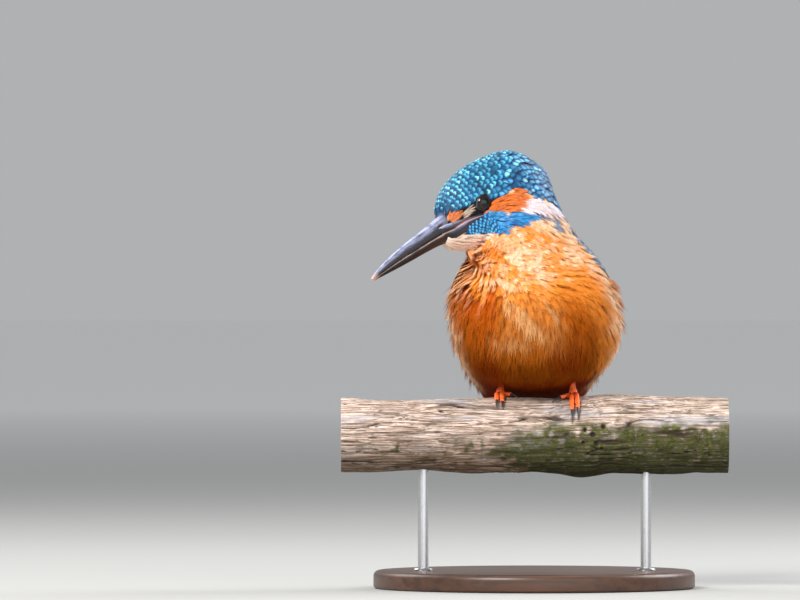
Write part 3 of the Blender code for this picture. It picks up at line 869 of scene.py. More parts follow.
# A flat feather's grid of rows and columns, its widest place along, how far it cups across, how uneven its
# tip is, and how far its soft shading leans outwards at the edges, or None where it is shaded by its shape.
Vane = namedtuple("Vane", "rows columns widest cup notch soft")
CROWN_VANE = Vane(12, 9, 0.64, 0.06, 0.07, 0.4)
CHEEK_VANE = Vane(10, 7, 0.66, 0.06, 0.05, 0.35)
QUILL_VANE = Vane(14, 7, 0.5, 0.04, 0.02, 0.3)
COVERT_VANE = Vane(12, 9, 0.6, 0.04, 0.02, 0.3)
LESSER_VANE = Vane(10, 7, 0.62, 0.05, 0.04, 0.4)
TAIL_VANE = Vane(14, 7, 0.62, 0.05, 0.0, None)


def vane_points(lines, width, vane, rng):
    """Flat feathers as grids. The half width is half the width times the square root of 4x(1 - x), where x is
    the way along raised to a power that puts the widest place where the vane says. Across it the feather
    bends down as cup times the square of the distance from the shaft, which is a low ridge."""
    along = np.linspace(0.02, 0.985, vane.rows)[:, None]
    across = np.linspace(-1, 1, vane.columns)[None, :]
    x = along ** (math.log(0.5) / math.log(vane.widest))
    outline = np.sqrt(4 * x * (1 - x)) * across
    along, across = np.broadcast_arrays(along, across)
    count = len(lines.length)
    uneven = 1 - vane.notch * np.abs(rng.standard_normal((count, 1, vane.columns))) * along**4
    a = (along * uneven * lines.length[:, None, None]).reshape(count, -1)
    b = (outline * 0.5 * width[:, None, None]).reshape(count, -1)
    shaft = 0.05 * np.exp(-((b / 0.2) ** 2))
    return *drape(lines, a, b, shaft - vane.cup * b**2), along.ravel(), across.ravel()


def vanes(name, lines, width, pattern, base, mark, finish, seed, vane, replaces=()):
    """Flat feathers: a grid over each centre line, in the base colour and in the mark colour where the
    pattern, a function of the way along and across, is 1. Soft ones are shaded with the body's normals."""
    rng = np.random.default_rng(seed)
    points, normals, along, across = vane_points(lines, width, vane, rng)
    feathers, count = len(width), len(along)
    if vane.soft is None:
        normals = None
    else:
        side = unit(np.cross(lines.forward[:, -1], lines.normals[:, -1]))
        lean = side[:, None] * (vane.soft * across)[None, :, None]
        normals = normals + lean + 0.06 * rng.standard_normal((feathers, 1, 3))
    faces = grid_faces(vane.rows, vane.columns)[None] + count * np.arange(feathers)[:, None, None]
    ahead = along[None] + rng.random((feathers, 1))
    places = np.stack((np.broadcast_to(across, (feathers, count)), ahead), axis=-1)
    maps = {"OFBake": bake_map(lines.roots, count, across, along), "vane": places}
    tint = vary(mix(base[:, None], mark[:, None], np.clip(pattern(along, across), 0, 1)), rng, 0.1)
    faces = [faces.reshape(-1, 4)]
    mesh_piece(name, points, faces, finish, "plumage_blue", replaces, tint, maps, normals)


# A soft feather's barbs to a side, the weight of their strokes, where the colour goes from base to tip, how
# much feathers differ in colour, and the ruffle: the less, the sleeker.
Plume = namedtuple("Plume", "barbs stroke ruffle fade vary_by", defaults=((0.45, 0.95), 0.06))
PLUME_KINDS = 6


def plume_template(barbs, seed):
    """One soft feather in its own plane. A narrow vane of five by three points covers the shaft. From each
    side barbs leave at an angle that falls from root to tip, run out and forwards, and taper to a point.
    Gives the place along (in lengths), across (in widths), the raised height and the stroke's own offset
    (in millimetres), and the faces."""
    rng = np.random.default_rng(seed)
    along = np.linspace(0.0, 0.82, 5)[:, None] * np.ones((1, 3))
    outline = 0.36 * np.sqrt(np.sin(math.pi * np.linspace(0.16, 0.95, 5)))
    across = outline[:, None] * np.array((-1.0, 0.0, 1.0))
    height = -0.12 * np.abs(across)
    start = along.size
    zero = np.zeros(start)
    parts = [np.stack((along.ravel(), across.ravel(), height.ravel(), zero, zero), axis=1)]
    quads, triangles = [grid_faces(5, 3)], []
    t = np.array((0.0, 0.45, 0.45, 0.0, 1.0))
    edge = np.array((1, 1, -1, -1, 0)) * 0.105 * (1 - 0.35 * t)
    for index in range(barbs):
        for side in (-1, 1):
            root = 0.08 + 0.78 * ((index + rng.random()) / barbs) ** 0.9
            angle = math.radians(38 - 26 * root + 8 * rng.standard_normal())
            reach = math.sqrt(math.sin(math.pi * min(0.25 + 0.62 * root, 0.9))) * rng.uniform(0.75, 1.2)
            away = side * reach * math.sin(angle) * t * (1 - 0.3 * t)
            ahead = root + 0.62 * reach * math.cos(angle) * t
            lifted = 0.02 + rng.uniform(0.0, 0.25) * t**2
            offset = (-side * math.sin(angle) * edge, math.cos(angle) * edge)
            parts.append(np.stack((ahead, away, lifted, *offset), axis=1))
            quads.append(start + np.array([[0, 1, 2, 3]]))
            triangles.append(start + np.array([[1, 4, 2]]))
            start += 5
    return np.concatenate(parts), np.concatenate(quads), np.concatenate(triangles)


def plumes(name, slot, lines, width, base, tip, finish, seed, plume):
    """Soft feathers with loose barbs. A few templates take turns, the colour goes from base to tip, and they
    are shaded mostly with the body's normals, so that the coat looks soft."""
    rng = np.random.default_rng(seed)
    kinds = rng.integers(0, PLUME_KINDS, len(width))
    pieces, start = [], 0
    for kind in range(PLUME_KINDS):
        chosen = np.flatnonzero(kinds == kind)
        if not len(chosen):
            continue
        template, four, three = plume_template(plume.barbs, seed * 10 + kind)
        along, across, raised, shift_a, shift_b = template.T
        some, wide = choose(lines, chosen), width[chosen][:, None]
        size = plume.stroke * np.sqrt(some.length / 8)[:, None]
        a = along[None] * some.length[:, None] + shift_a[None] * size
        b = across[None] * wide + shift_b[None] * size
        place, normal = drape(some, a, b, plume.ruffle * raised[None] * size - 0.02 * b**2)
        side = np.cross(some.forward[:, -1], some.normals[:, -1])[:, None]
        lean = 0.5 * plume.ruffle * np.clip(b / wide, -1, 1)[..., None] * side
        normal = normal + lean + 0.08 * plume.ruffle * rng.standard_normal((len(chosen), 1, 3))
        share = smooth(*plume.fade, a / some.length[:, None]) * (1 - 0.25 * rng.random(a.shape))
        tint = vary(mix(base[chosen][:, None], tip[chosen][:, None], share), rng, plume.vary_by)
        count = len(along)
        bake = bake_map(some.roots, count, np.clip(across * 2, -1, 1), np.clip(along, 0, 1))
        ahead = along[None] + rng.random((len(chosen), 1))
        vane = np.stack((np.broadcast_to(across * 2, a.shape), ahead), axis=-1)
        shift = start + count * np.arange(len(chosen))[:, None, None]
        parts = (place, normal, tint, bake, vane, four[None] + shift, three[None] + shift)
        pieces.append([part.reshape(-1, part.shape[-1]) for part in parts])
        start += count * len(chosen)
    points, normals, tints, bakes, places, *faces = (np.concatenate(part) for part in zip(*pieces))
    maps = {"OFBake": bakes, "vane": places}
    mesh_piece(name, points, faces, finish, slot, tint=tints, maps=maps, normals=normals)


def tip_bar(along, across):
    """A bar just before the feather's tip that stops short of the edges and bends with the tip."""
    bent = along + 0.07 * across**2
    return within(0.76, 0.9, 0.05, bent) * (1 - 0.85 * smooth(0.5, 0.85, np.abs(across)))


def tip_dash(along, across):
    """A short dash along the shaft, before the feather's tip."""
    return within(0.66, 0.9, 0.06, along + 0.1 * across**2) * (1 - 0.9 * smooth(0.25, 0.7, np.abs(across)))


def tip_spot(along, across):
    """A spot in the middle of the feather's end."""
    return np.exp(-(((along - 0.84) / 0.12) ** 2) - (across / 0.5) ** 2)


def outer_web(side):
    """The pattern of a quill of one wing: the web on the shaft's outer side, brightest along its edge."""

    def pattern(along, across):
        out = -side * across
        edge = 0.45 + 0.55 * smooth(0.4, 0.9, out)
        return smooth(-0.05, 0.2, out) * edge * (0.7 + 0.3 * smooth(0, 0.6, along))

    return pattern


def outer_edge(along, across):
    """A narrow light edge round the feather's end."""
    return smooth(0.55, 0.95, np.maximum(np.abs(across), (along - 0.7) / 0.3))


def both_webs(along, across):
    """Both webs away from the shaft, brightest along their edges."""
    off = np.abs(across)
    return (0.45 + 0.55 * smooth(0.02, 0.14, off)) * (0.72 + 0.28 * smooth(0.55, 0.95, off))


class PieceOperator:
    """What the operators share: they work on the loaded frame and undo in one step."""

    bl_options = {"REGISTER", "UNDO"}


class KINGFISHER_OT_skin(PieceOperator, bpy.types.Operator):
    """One skin under head, neck and trunk, closed at the bill and at the tail"""

    bl_idname = "kingfisher.skin"
    bl_label = "Skin"

    def execute(self, context):
        station = np.linspace(0.0, SKIN_END, 260)[:, None]
        angle = np.linspace(-math.pi, math.pi, 132, endpoint=False)[None, :]
        station, angle = np.broadcast_arrays(station, angle)
        point, _, _, normal = surface_frame(np.clip(station, 0.02, len(BODY_ROWS) - 1.1), angle)
        outwards = unit(point - body_middle(station))
        crease = within(5.8, 7.2, 0.5, station) * (1 - smooth(0.0, 0.5, (normal * outwards).sum(axis=-1)))
        deep = coat_depth(station) + 2.5 * crease
        inwards = normal * (1 - crease)[..., None] + outwards * crease[..., None]
        rings = point - inwards * deep[..., None]
        base, tip = markings(station, np.degrees(angle))
        tint = np.concatenate([mix(base, tip, 0.4).reshape(-1, 3), base[0, :1], base[-1, :1]])
        nodes = ("head", "neck", "trunk")
        mesh_piece("skin", *fanned(rings), skin_material(), "plumage_orange", nodes, tint)
        return {"FINISHED"}


class KINGFISHER_OT_crown(PieceOperator, bpy.types.Operator):
    """Barred feathers of crown and nape, in rows like bricks"""

    bl_idname = "kingfisher.crown"
    bl_label = "Crown and nape"

    def execute(self, context):
        look = context.scene.kingfisher_plumage
        rng = np.random.default_rng(11)
        marks, steps = self.rows()
        station, angle = rows_of_roots(crown_measure, marks, steps * 0.98, np.linspace(-96, 96, 193))
        step = np.interp(crown_measure_at(station, angle), marks, steps)
        station = station + rng.normal(0, 0.028, station.size)
        angle = angle + rng.normal(0, 0.02, angle.size)
        length = 2.6 * step * rng.uniform(0.93, 1.07, station.size)
        lines = walk(station, angle, rng.normal(0, 4, station.size), length, np.full(station.size, 0.15), 5)
        kept = (patch_at(*lines.seen.T) == BLUE) & (lines.seen[:, 0] < 9.4) & (station > 0.06)
        lines, step = choose(lines, kept), step[kept]
        base, _ = markings(*lines.seen.T)
        behind = smooth(5.0, 7.6, lines.seen[:, 0] + np.abs(lines.seen[:, 1]) / 70)
        bar = mix(look.crown_bar, mix(look.nape, look.crown_bar, 0.55), behind)
        # The bars are lightened in patches and whitened where brightest: partly the bars' own uneven colour,
        # partly painted glints.
        spark = 0.5 + 0.5 * noise(lines.points[:, -1], 3.0, 14)
        glow = np.clip(0.35 + 1.0 * spark + 0.3 * rng.standard_normal(spark.size), 0.1, 1.6)[:, None]
        bar = np.clip(bar * glow + 0.4 * np.clip(glow - 0.95, 0, 1), 0, 1)
        bar = mix(base, bar, 1.0 - 0.35 * behind)
        finish = feather_material("Barred blue feather")
        base, nape = base * rng.uniform(0.4, 0.75, (len(base), 1)), behind > 0.45
        for name, some, pattern in (("crown_feathers", ~nape, tip_bar), ("nape_feathers", nape, tip_dash)):
            wide = 1.3 * step[some]
            vanes(name, choose(lines, some), wide, pattern, base[some], bar[some], finish, 12, CROWN_VANE)
        return {"FINISHED"}

    @staticmethod
    def rows():
        """Places of the rows down the crown, and the step to the next: short by the bill, long behind."""
        marks, steps = [-15.5], []
        while marks[-1] < 46:
            step = np.interp(marks[-1], (-13, -6, 2, 14, 30), (1.15, 1.6, 1.85, 2.0, 2.3))
            steps.append(float(step))
            marks.append(marks[-1] + steps[-1])
        return np.array(marks[:-1]), np.array(steps)


def crown_measure_at(station, angle):
    """The crown's measure at scattered places, from a grid of it."""
    stations, angles = np.linspace(0.05, 9.6, 240), np.linspace(-math.pi * 0.6, math.pi * 0.6, 121)
    grid = crown_measure(stations[:, None], angles[None, :])
    s = np.clip((station - stations[0]) / (stations[1] - stations[0]), 0, len(stations) - 1.001)
    a = np.clip((angle - angles[0]) / (angles[1] - angles[0]), 0, len(angles) - 1.001)
    i, j = s.astype(int), a.astype(int)
    s, a = s - i, a - j
    low = grid[i, j] * (1 - a) + grid[i, j + 1] * a
    return low * (1 - s) + (grid[i + 1, j] * (1 - a) + grid[i + 1, j + 1] * a) * s


class KINGFISHER_OT_face(PieceOperator, bpy.types.Operator):
    """Small feathers of lores, ear, cheek stripe, neck patch and throat"""

    bl_idname = "kingfisher.face"
    bl_label = "Face and throat"

    # Each patch: name, patch, window of stations and angles for the roots, spacing, length by the bill and
    # at the back, width, turn away from the spine in degrees, and barbs to a side.
    PATCHES = (
        ("lore_feathers", LORE, (0.2, 5.0), (50, 106), 0.55, (1.5, 2.2), 0.7, 0.0, 5),
        ("ear_feathers", EARS, (3.9, 6.7), (66, 103), 0.62, (3.0, 4.2), 1.2, -16.0, 8),
        ("neck_patch_feathers", NECK, (5.6, 8.8), (38, 97), 0.75, (4.0, 4.6), 2.0, 0.0, 10),
        ("throat_feathers", THROAT, (0.1, 6.6), (98, 180), 0.8, (2.2, 4.6), 1.1, 0.0, 8),
    )

    def execute(self, context):
        finish = feather_material("Fine face feather")
        for seed, row in enumerate(self.PATCHES, start=21):
            self.soft_patch(seed, finish, *row)
        self.cheek(context.scene.kingfisher_plumage)
        return {"FINISHED"}

    @staticmethod
    def soft_patch(seed, finish, name, patch, stations, angles, apart, lengths, width, turn, barbs):
        """Fine feathers whose showing part lies in one patch of the face."""
        rng = np.random.default_rng(seed)

        def gap(station, degrees):
            side = np.abs(degrees)
            eye = np.hypot((station - 4.33) / 0.5, (side - 89) / 10) < 1
            return np.where((side > angles[0]) & (side < angles[1]) & ~eye, apart, 0)

        station, angle = scatter(gap, seed, stations)
        count = station.size
        length = np.interp(station, stations, lengths) * rng.uniform(0.85, 1.15, count)
        veer, rise = turn + rng.normal(0, 5, count), rng.uniform(0.1, 0.3, count)
        lines = walk(station, angle, veer, length, rise, 6)
        lines = choose(lines, (patch_at(*lines.seen.T) == patch) & ~creased(lines.seen))
        base, tip = markings(*lines.seen.T)
        wide = width * rng.uniform(0.85, 1.15, len(lines.length))
        plume = Plume(barbs, stroke=0.7, ruffle=0.6 if patch == EARS else 0.25, vary_by=0.04)
        plumes(name, "plumage_orange", lines, wide, base, tip, finish, seed, plume)

    @staticmethod
    def cheek(look):
        """Sleek feathers in rows: barred at the front, further back along the lower edge; silky behind, with
        painted highlights in streaks.
        """
        rng = np.random.default_rng(27)
        marks = np.arange(6.0, 44.0, 1.2)
        left = rows_of_roots(ring_measure, marks, np.full(len(marks), 1.0), np.linspace(58, 140, 83))
        station, angle = np.concatenate([left, (left[0], -left[1])], axis=1)
        count = station.size
        loose = smooth(4.4, 5.4, station)
        station = station + rng.normal(0, 1, count) * (0.008 + 0.05 * loose)
        length = np.interp(station, (3, 5, 8), (2.6, 3.8, 5.0)) * rng.uniform(0.95, 1.05, count)
        turn = np.interp(station, (4, 6, 8), (-6, -14, -10)) + rng.normal(0, 4, count)
        lines = walk(station, angle, turn, length, np.full(count, 0.2), 5)
        lines = choose(lines, patch_at(*lines.seen.T) == CHEEKS)
        base, _ = markings(*lines.seen.T)
        place, side = lines.seen[:, 0], np.abs(lines.seen[:, 1])
        barred = np.interp(side, (101, 120), (4.9, 6.5))
        front = 1 - smooth(-0.7, 0.7, place - barred)
        # Behind the bars the tips are lightened in streaky patches: painted highlights.
        spark = 0.5 + 0.8 * noise(lines.points[:, -1], 2.2, 16)
        glow = np.clip(0.1 + 1.0 * spark + 0.15 * rng.standard_normal(spark.size), 0.0, 1.0)
        glow = np.maximum(0.75 * front, 0.8 * glow) * (1 - 0.7 * smooth(6.8, 7.6, place))
        bar = mix(base, look.cheek_bar_and_highlight, glow)
        finish = feather_material("Cheek feather")
        ground = base * (1 - 0.6 * front)[:, None]
        wide = np.interp(place, (3, 6, 8), (1.45, 1.7, 1.9))
        some = place < barred + 0.1
        bars = choose(lines, some)
        vanes("cheek_front", bars, wide[some], tip_bar, ground[some], bar[some], finish, 29, CHEEK_VANE)
        some = place >= barred - 0.1
        silk, wide = choose(lines, some), np.full(some.sum(), 1.5)
        plume = Plume(10, stroke=0.8, ruffle=0.5, vary_by=0.08)
        plumes("cheek_back", "plumage_blue", silk, wide, base[some], bar[some], finish, 30, plume)


class KINGFISHER_OT_breast(PieceOperator, bpy.types.Operator):
    """Soft feathers of breast, flanks, belly and vent"""

    bl_idname = "kingfisher.breast"
    bl_label = "Breast and belly"

    SLEEK = Plume(24, stroke=1.1, ruffle=0.3)
    FLUFFED = Plume(24, stroke=0.75, ruffle=0.8)

    def execute(self, context):
        finish = feather_material("Soft breast feather")
        look = context.scene.kingfisher_plumage
        rng = np.random.default_rng(31)
        station, angle = scatter(self.gap, 32, (1.6, 18.2))
        count, side = station.size, np.abs(np.degrees(angle))
        length = np.interp(station, (5, 6, 8, 9.4, 10.4, 12, 14, 18), (3.4, 4.4, 5.2, 6.2, 8.5, 10, 9.5, 8))
        length = length * rng.uniform(0.85, 1.15, count)
        width = length * rng.uniform(0.5, 0.66, count)
        rise = rng.uniform(0.0, 0.6, count) * np.interp(station, (5, 6, 9, 14, 18), (0.2, 0.5, 1.0, 1.0, 0.3))
        over = within(10.2, 14.0, 0.5, station)
        shoulder = within(8.4, 9.7, 0.7, station) * within(98, 124, 12, side) * (angle < 0)
        rise = rise + 1.8 * smooth(97, 80, side) * over + 0.8 * shoulder
        length = length * (1 - 0.25 * smooth(80, 95, side) * (1 - smooth(9.2, 9.8, station)))
        veer = rng.normal(0, 8, count) - 16 * over * smooth(110, 90, side)
        lines = walk(station, angle, veer, length, rise, 7)
        kept = (patch_at(*lines.seen.T) == BREAST) & self.clear_of_legs(lines)
        kept &= ~creased(lines.roots * (1, 180 / math.pi)) & ~creased(lines.seen)
        lines, width = choose(lines, kept), width[kept]
        base, tip = breast_colours(*lines.seen.T)
        upper = within(6.0, 9.2, 0.4, lines.seen[:, 0]) * rng.uniform(-1.2, 0.8, len(width))
        tip = mix(tip, look.cream, np.clip(upper, 0, 1)) * (1 + 0.1 * np.minimum(upper, 0))[:, None]
        tip = np.clip(tip, 0, 1)
        for name, some in self.parts(*lines.roots.T):
            plume = self.SLEEK if name == "breast_feathers" else self.FLUFFED
            coat = (choose(lines, some), width[some], base[some], tip[some])
            plumes(name, "plumage_orange", *coat, finish, 33 + len(name), plume)
        self.bib(rng, look, finish)
        return {"FINISHED"}

    @staticmethod
    def clear_of_legs(lines):
        """True for feathers whose tips leave the bare part of both legs free."""
        clear = np.ones(len(lines.length), bool)
        for _, side, place, stance, _ in FEET:
            tip = lines.points[:, -2:] - branch_outline(side * place, stance, BALL_LIFT)
            close = (np.hypot(tip[..., 0] / 2.6, (tip[..., 1] + 1.5) / 4.5) < 1) & (tip[..., 2] < 8.5)
            clear &= ~close.any(axis=1)
        return clear

    def bib(self, rng, look, finish):
        """Feathers over the crease below the chin, where none can follow the body, and those at its edge."""
        for name, (lines, degrees) in (
            ("bib_feathers", self.bridging(rng)),
            ("chin_feathers", self.beside_crease(rng)),
        ):
            base, tip = breast_colours(np.full(degrees.size, 7.4), degrees)
            tip = mix(tip, look.cream, np.clip(rng.uniform(-0.8, 0.8, degrees.size), 0, 1))
            plume = Plume(18, stroke=0.7, ruffle=0.5)
            plumes(name, "plumage_orange", lines, np.full(degrees.size, 2.2), base, tip, finish, 39, plume)

    @staticmethod
    def bridging(rng):
        """Lines from the throat to the breast, straight apart from where the body swells past them, and the
        angles of their roots in degrees."""
        above, below, steps = 5.8, 7.7, 7
        degrees = np.concatenate([np.linspace(CREASE_RIGHT, -180, 60), np.linspace(178, 146, 26)]).repeat(5)
        degrees = degrees + rng.normal(0, 1.5, degrees.size)
        angle = np.radians(degrees)
        ends, outwards = [], []
        for station, lift in ((above, -0.6), (below, 0.3)):
            point = body_surface(station, angle)
            outwards.append(unit(point - body_middle(station)))
            ends.append(point + outwards[-1] * lift)
        long = np.linalg.norm(ends[1] - ends[0], axis=1)
        start = rng.uniform(-0.1, 0.75, degrees.size)
        reach = rng.uniform(3.4, 4.4, degrees.size) / long
        way = np.linspace(0, 1, steps)
        t = (start[:, None] + reach[:, None] * way[None, :])[..., None]
        normals = unit(outwards[0][:, None] * (1 - t) + outwards[1][:, None] * t)
        points = ends[0][:, None] * (1 - t) + ends[1][:, None] * t
        station = above + (below - above) * t[..., 0]
        middle = body_middle(station)
        surface = body_surface(station, np.broadcast_to(angle[:, None], station.shape)) - middle
        short = np.linalg.norm(surface, axis=-1) - np.linalg.norm(points - middle, axis=-1)
        points = points + unit(points - middle) * np.clip(short, 0, 3)[..., None]
        points = points + normals * (1.1 * way[None, :, None] - 0.5)
        roots = np.stack((above + (below - above) * start, angle), axis=1)
        return lines_from(points, normals, roots), degrees

    @staticmethod
    def beside_crease(rng):
        """Lines that run straight on down the body from roots at the crease, and their angles in degrees."""
        steps = 7
        station, angle = scatter(lambda s, d: np.where((d > 128) & (d < 179.5), 0.75, 0), 40, (5.9, 7.15))
        point, down, _, normal = surface_frame(station, angle)
        way = np.linspace(0, 1, steps)[None, :, None]
        reach = rng.uniform(2.6, 3.4, station.size)[:, None, None]
        points = point[:, None] + unit(down)[:, None] * reach * way + normal[:, None] * (0.9 * way - 0.2)
        normals = np.repeat(normal[:, None], steps, axis=1)
        return lines_from(points, normals, np.stack((station, angle), axis=1)), np.degrees(angle)

    @staticmethod
    def parts(station, angle):
        """The coat in pieces small enough to handle: upper breast, belly, each flank and vent."""
        degrees = np.degrees(angle)
        upper, lower = station < 9.3, station > 12.8
        middle = ~upper & ~lower
        left, right = (degrees > 0) & (degrees < 140), (degrees < 0) & (degrees > -140)
        return (
            ("breast_feathers", upper),
            ("flank_feathers_left", middle & left),
            ("flank_feathers_right", middle & right),
            ("belly_feathers", middle & ~left & ~right),
            ("vent_feathers", lower),
        )

    @staticmethod
    def gap(station, degrees):
        """Distance between roots: less on the breast than at the vent."""
        side = np.abs(degrees)
        edge = np.where(station < 9.4, 40, crown_edge(station) - 2)
        chin = np.interp(side, *zip(*THROAT_END)) - np.interp(side, (110, 150), (1.3, 3.2))
        apart = np.interp(station, (5, 6, 8, 10, 12, 18), (0.75, 0.9, 1.0, 1.35, 1.6, 1.9))
        return np.where((side > edge) & (station > chin), apart, 0)


class KINGFISHER_OT_back(PieceOperator, bpy.types.Operator):
    """Azure feathers of back and rump, and the mantle over the shoulders"""

    bl_idname = "kingfisher.back"
    bl_label = "Back and mantle"

    def execute(self, context):
        look, finish = context.scene.kingfisher_plumage, feather_material("Glossy blue feather")
        for name, gap, seed, length, width, shade, glow, stations in (
            ("back_feathers", self.back_gap, 41, 6.0, 2.6, look.azure, 1.5, (9.2, 18.6)),
            ("mantle_feathers", self.mantle_gap, 42, 5.2, 2.8, look.mantle, 1.7, (8.2, 12.0)),
        ):
            base, mark = np.array(shade) * 0.75, np.array(shade) * glow
            self.tract(name, gap, seed, length, width, base, mark, look, stations, finish)
        return {"FINISHED"}

    @staticmethod
    def back_gap(station, degrees):
        """Distance between roots down the middle of the back and all round the rump."""
        wide = np.interp(station, (9, 10.5, 16.5, 18, 18.6), (26, 20, 20, 60, 88))
        return np.where(np.abs(degrees) < wide, 1.25, 0)

    @staticmethod
    def mantle_gap(station, degrees):
        """Distance between roots on both shoulders, beside the middle of the back."""
        side = np.abs(degrees)
        outer = np.interp(station, (8.0, 8.8, 9.4, 9.9, 10.4, 12), (46, 62, 72, 84, 60, 34))
        inner = np.interp(station, (8.2, 9.0, 10, 12), (0, 4, 14, 18))
        return np.where((side < outer) & (side > inner), 1.35, 0)

    @staticmethod
    def tract(name, gap, seed, length, width, base, mark, look, stations, finish):
        """Feathers of one shade with brighter tips. They rise over the wing's edge at the shoulder, and dull
        to slate and white at the sides of the neck."""
        rng = np.random.default_rng(seed)
        station, angle = scatter(gap, seed, stations)
        count, side = station.size, np.abs(np.degrees(angle))
        long = length * rng.uniform(0.85, 1.15, count)
        over_wing = 2.4 * within(10.0, 13, 0.7, station) * smooth(18, 30, side) * (1 - smooth(46, 58, side))
        rise = 0.3 + over_wing + rng.uniform(0, 0.4, count)
        lines = walk(station, angle, rng.normal(2, 6, count), long, rise, 6)
        lines = choose(lines, patch_at(*lines.seen.T) == BLUE)
        place, side = lines.seen[:, 0], np.abs(lines.seen[:, 1])
        mark = np.clip(mark * rng.uniform(0.85, 1.15, (place.size, 1)), 0, 1)
        front = (1 - smooth(9.6, 10.6, place)) * smooth(22, 36, side)
        base = mix(base, np.array(look.slate) * 0.6, 0.7 * front)
        mark = mix(mark, mix(look.slate, look.white, rng.uniform(0, 0.7, place.size)), 0.8 * front)
        wide = width * rng.uniform(0.9, 1.15, place.size)
        plume = Plume(14, stroke=0.9, ruffle=0.25, fade=(0.1, 0.9))
        plumes(name, "plumage_blue", lines, wide, base, mark, finish, seed + 1, plume)


def wing_place(u, v, side):
    """Station and angle of a place on the folded wing: u from its bend to its tip, v from its upper to its
    lower edge."""
    rows = through(WING_STATIONS, np.ravel(u) * (len(WING_STATIONS) - 1))
    angle = np.radians(rows[:, 1] + (rows[:, 2] - rows[:, 1]) * np.ravel(v)) * side
    return rows[:, 0].reshape(np.shape(u)), angle.reshape(np.shape(u))


def wing_height(u, v):
    """Height of the wing's outer face over the body: an edge of fixed thickness and a swelling between."""
    along = np.sin(math.pi * np.clip(0.04 + 0.94 * u, 0, 1) ** 0.7) ** 0.6
    swell = np.sin(math.pi * np.clip(v, 0, 1)) * along
    return WING_GAP + WING_EDGE + (WING_THICKNESS - WING_EDGE) * swell


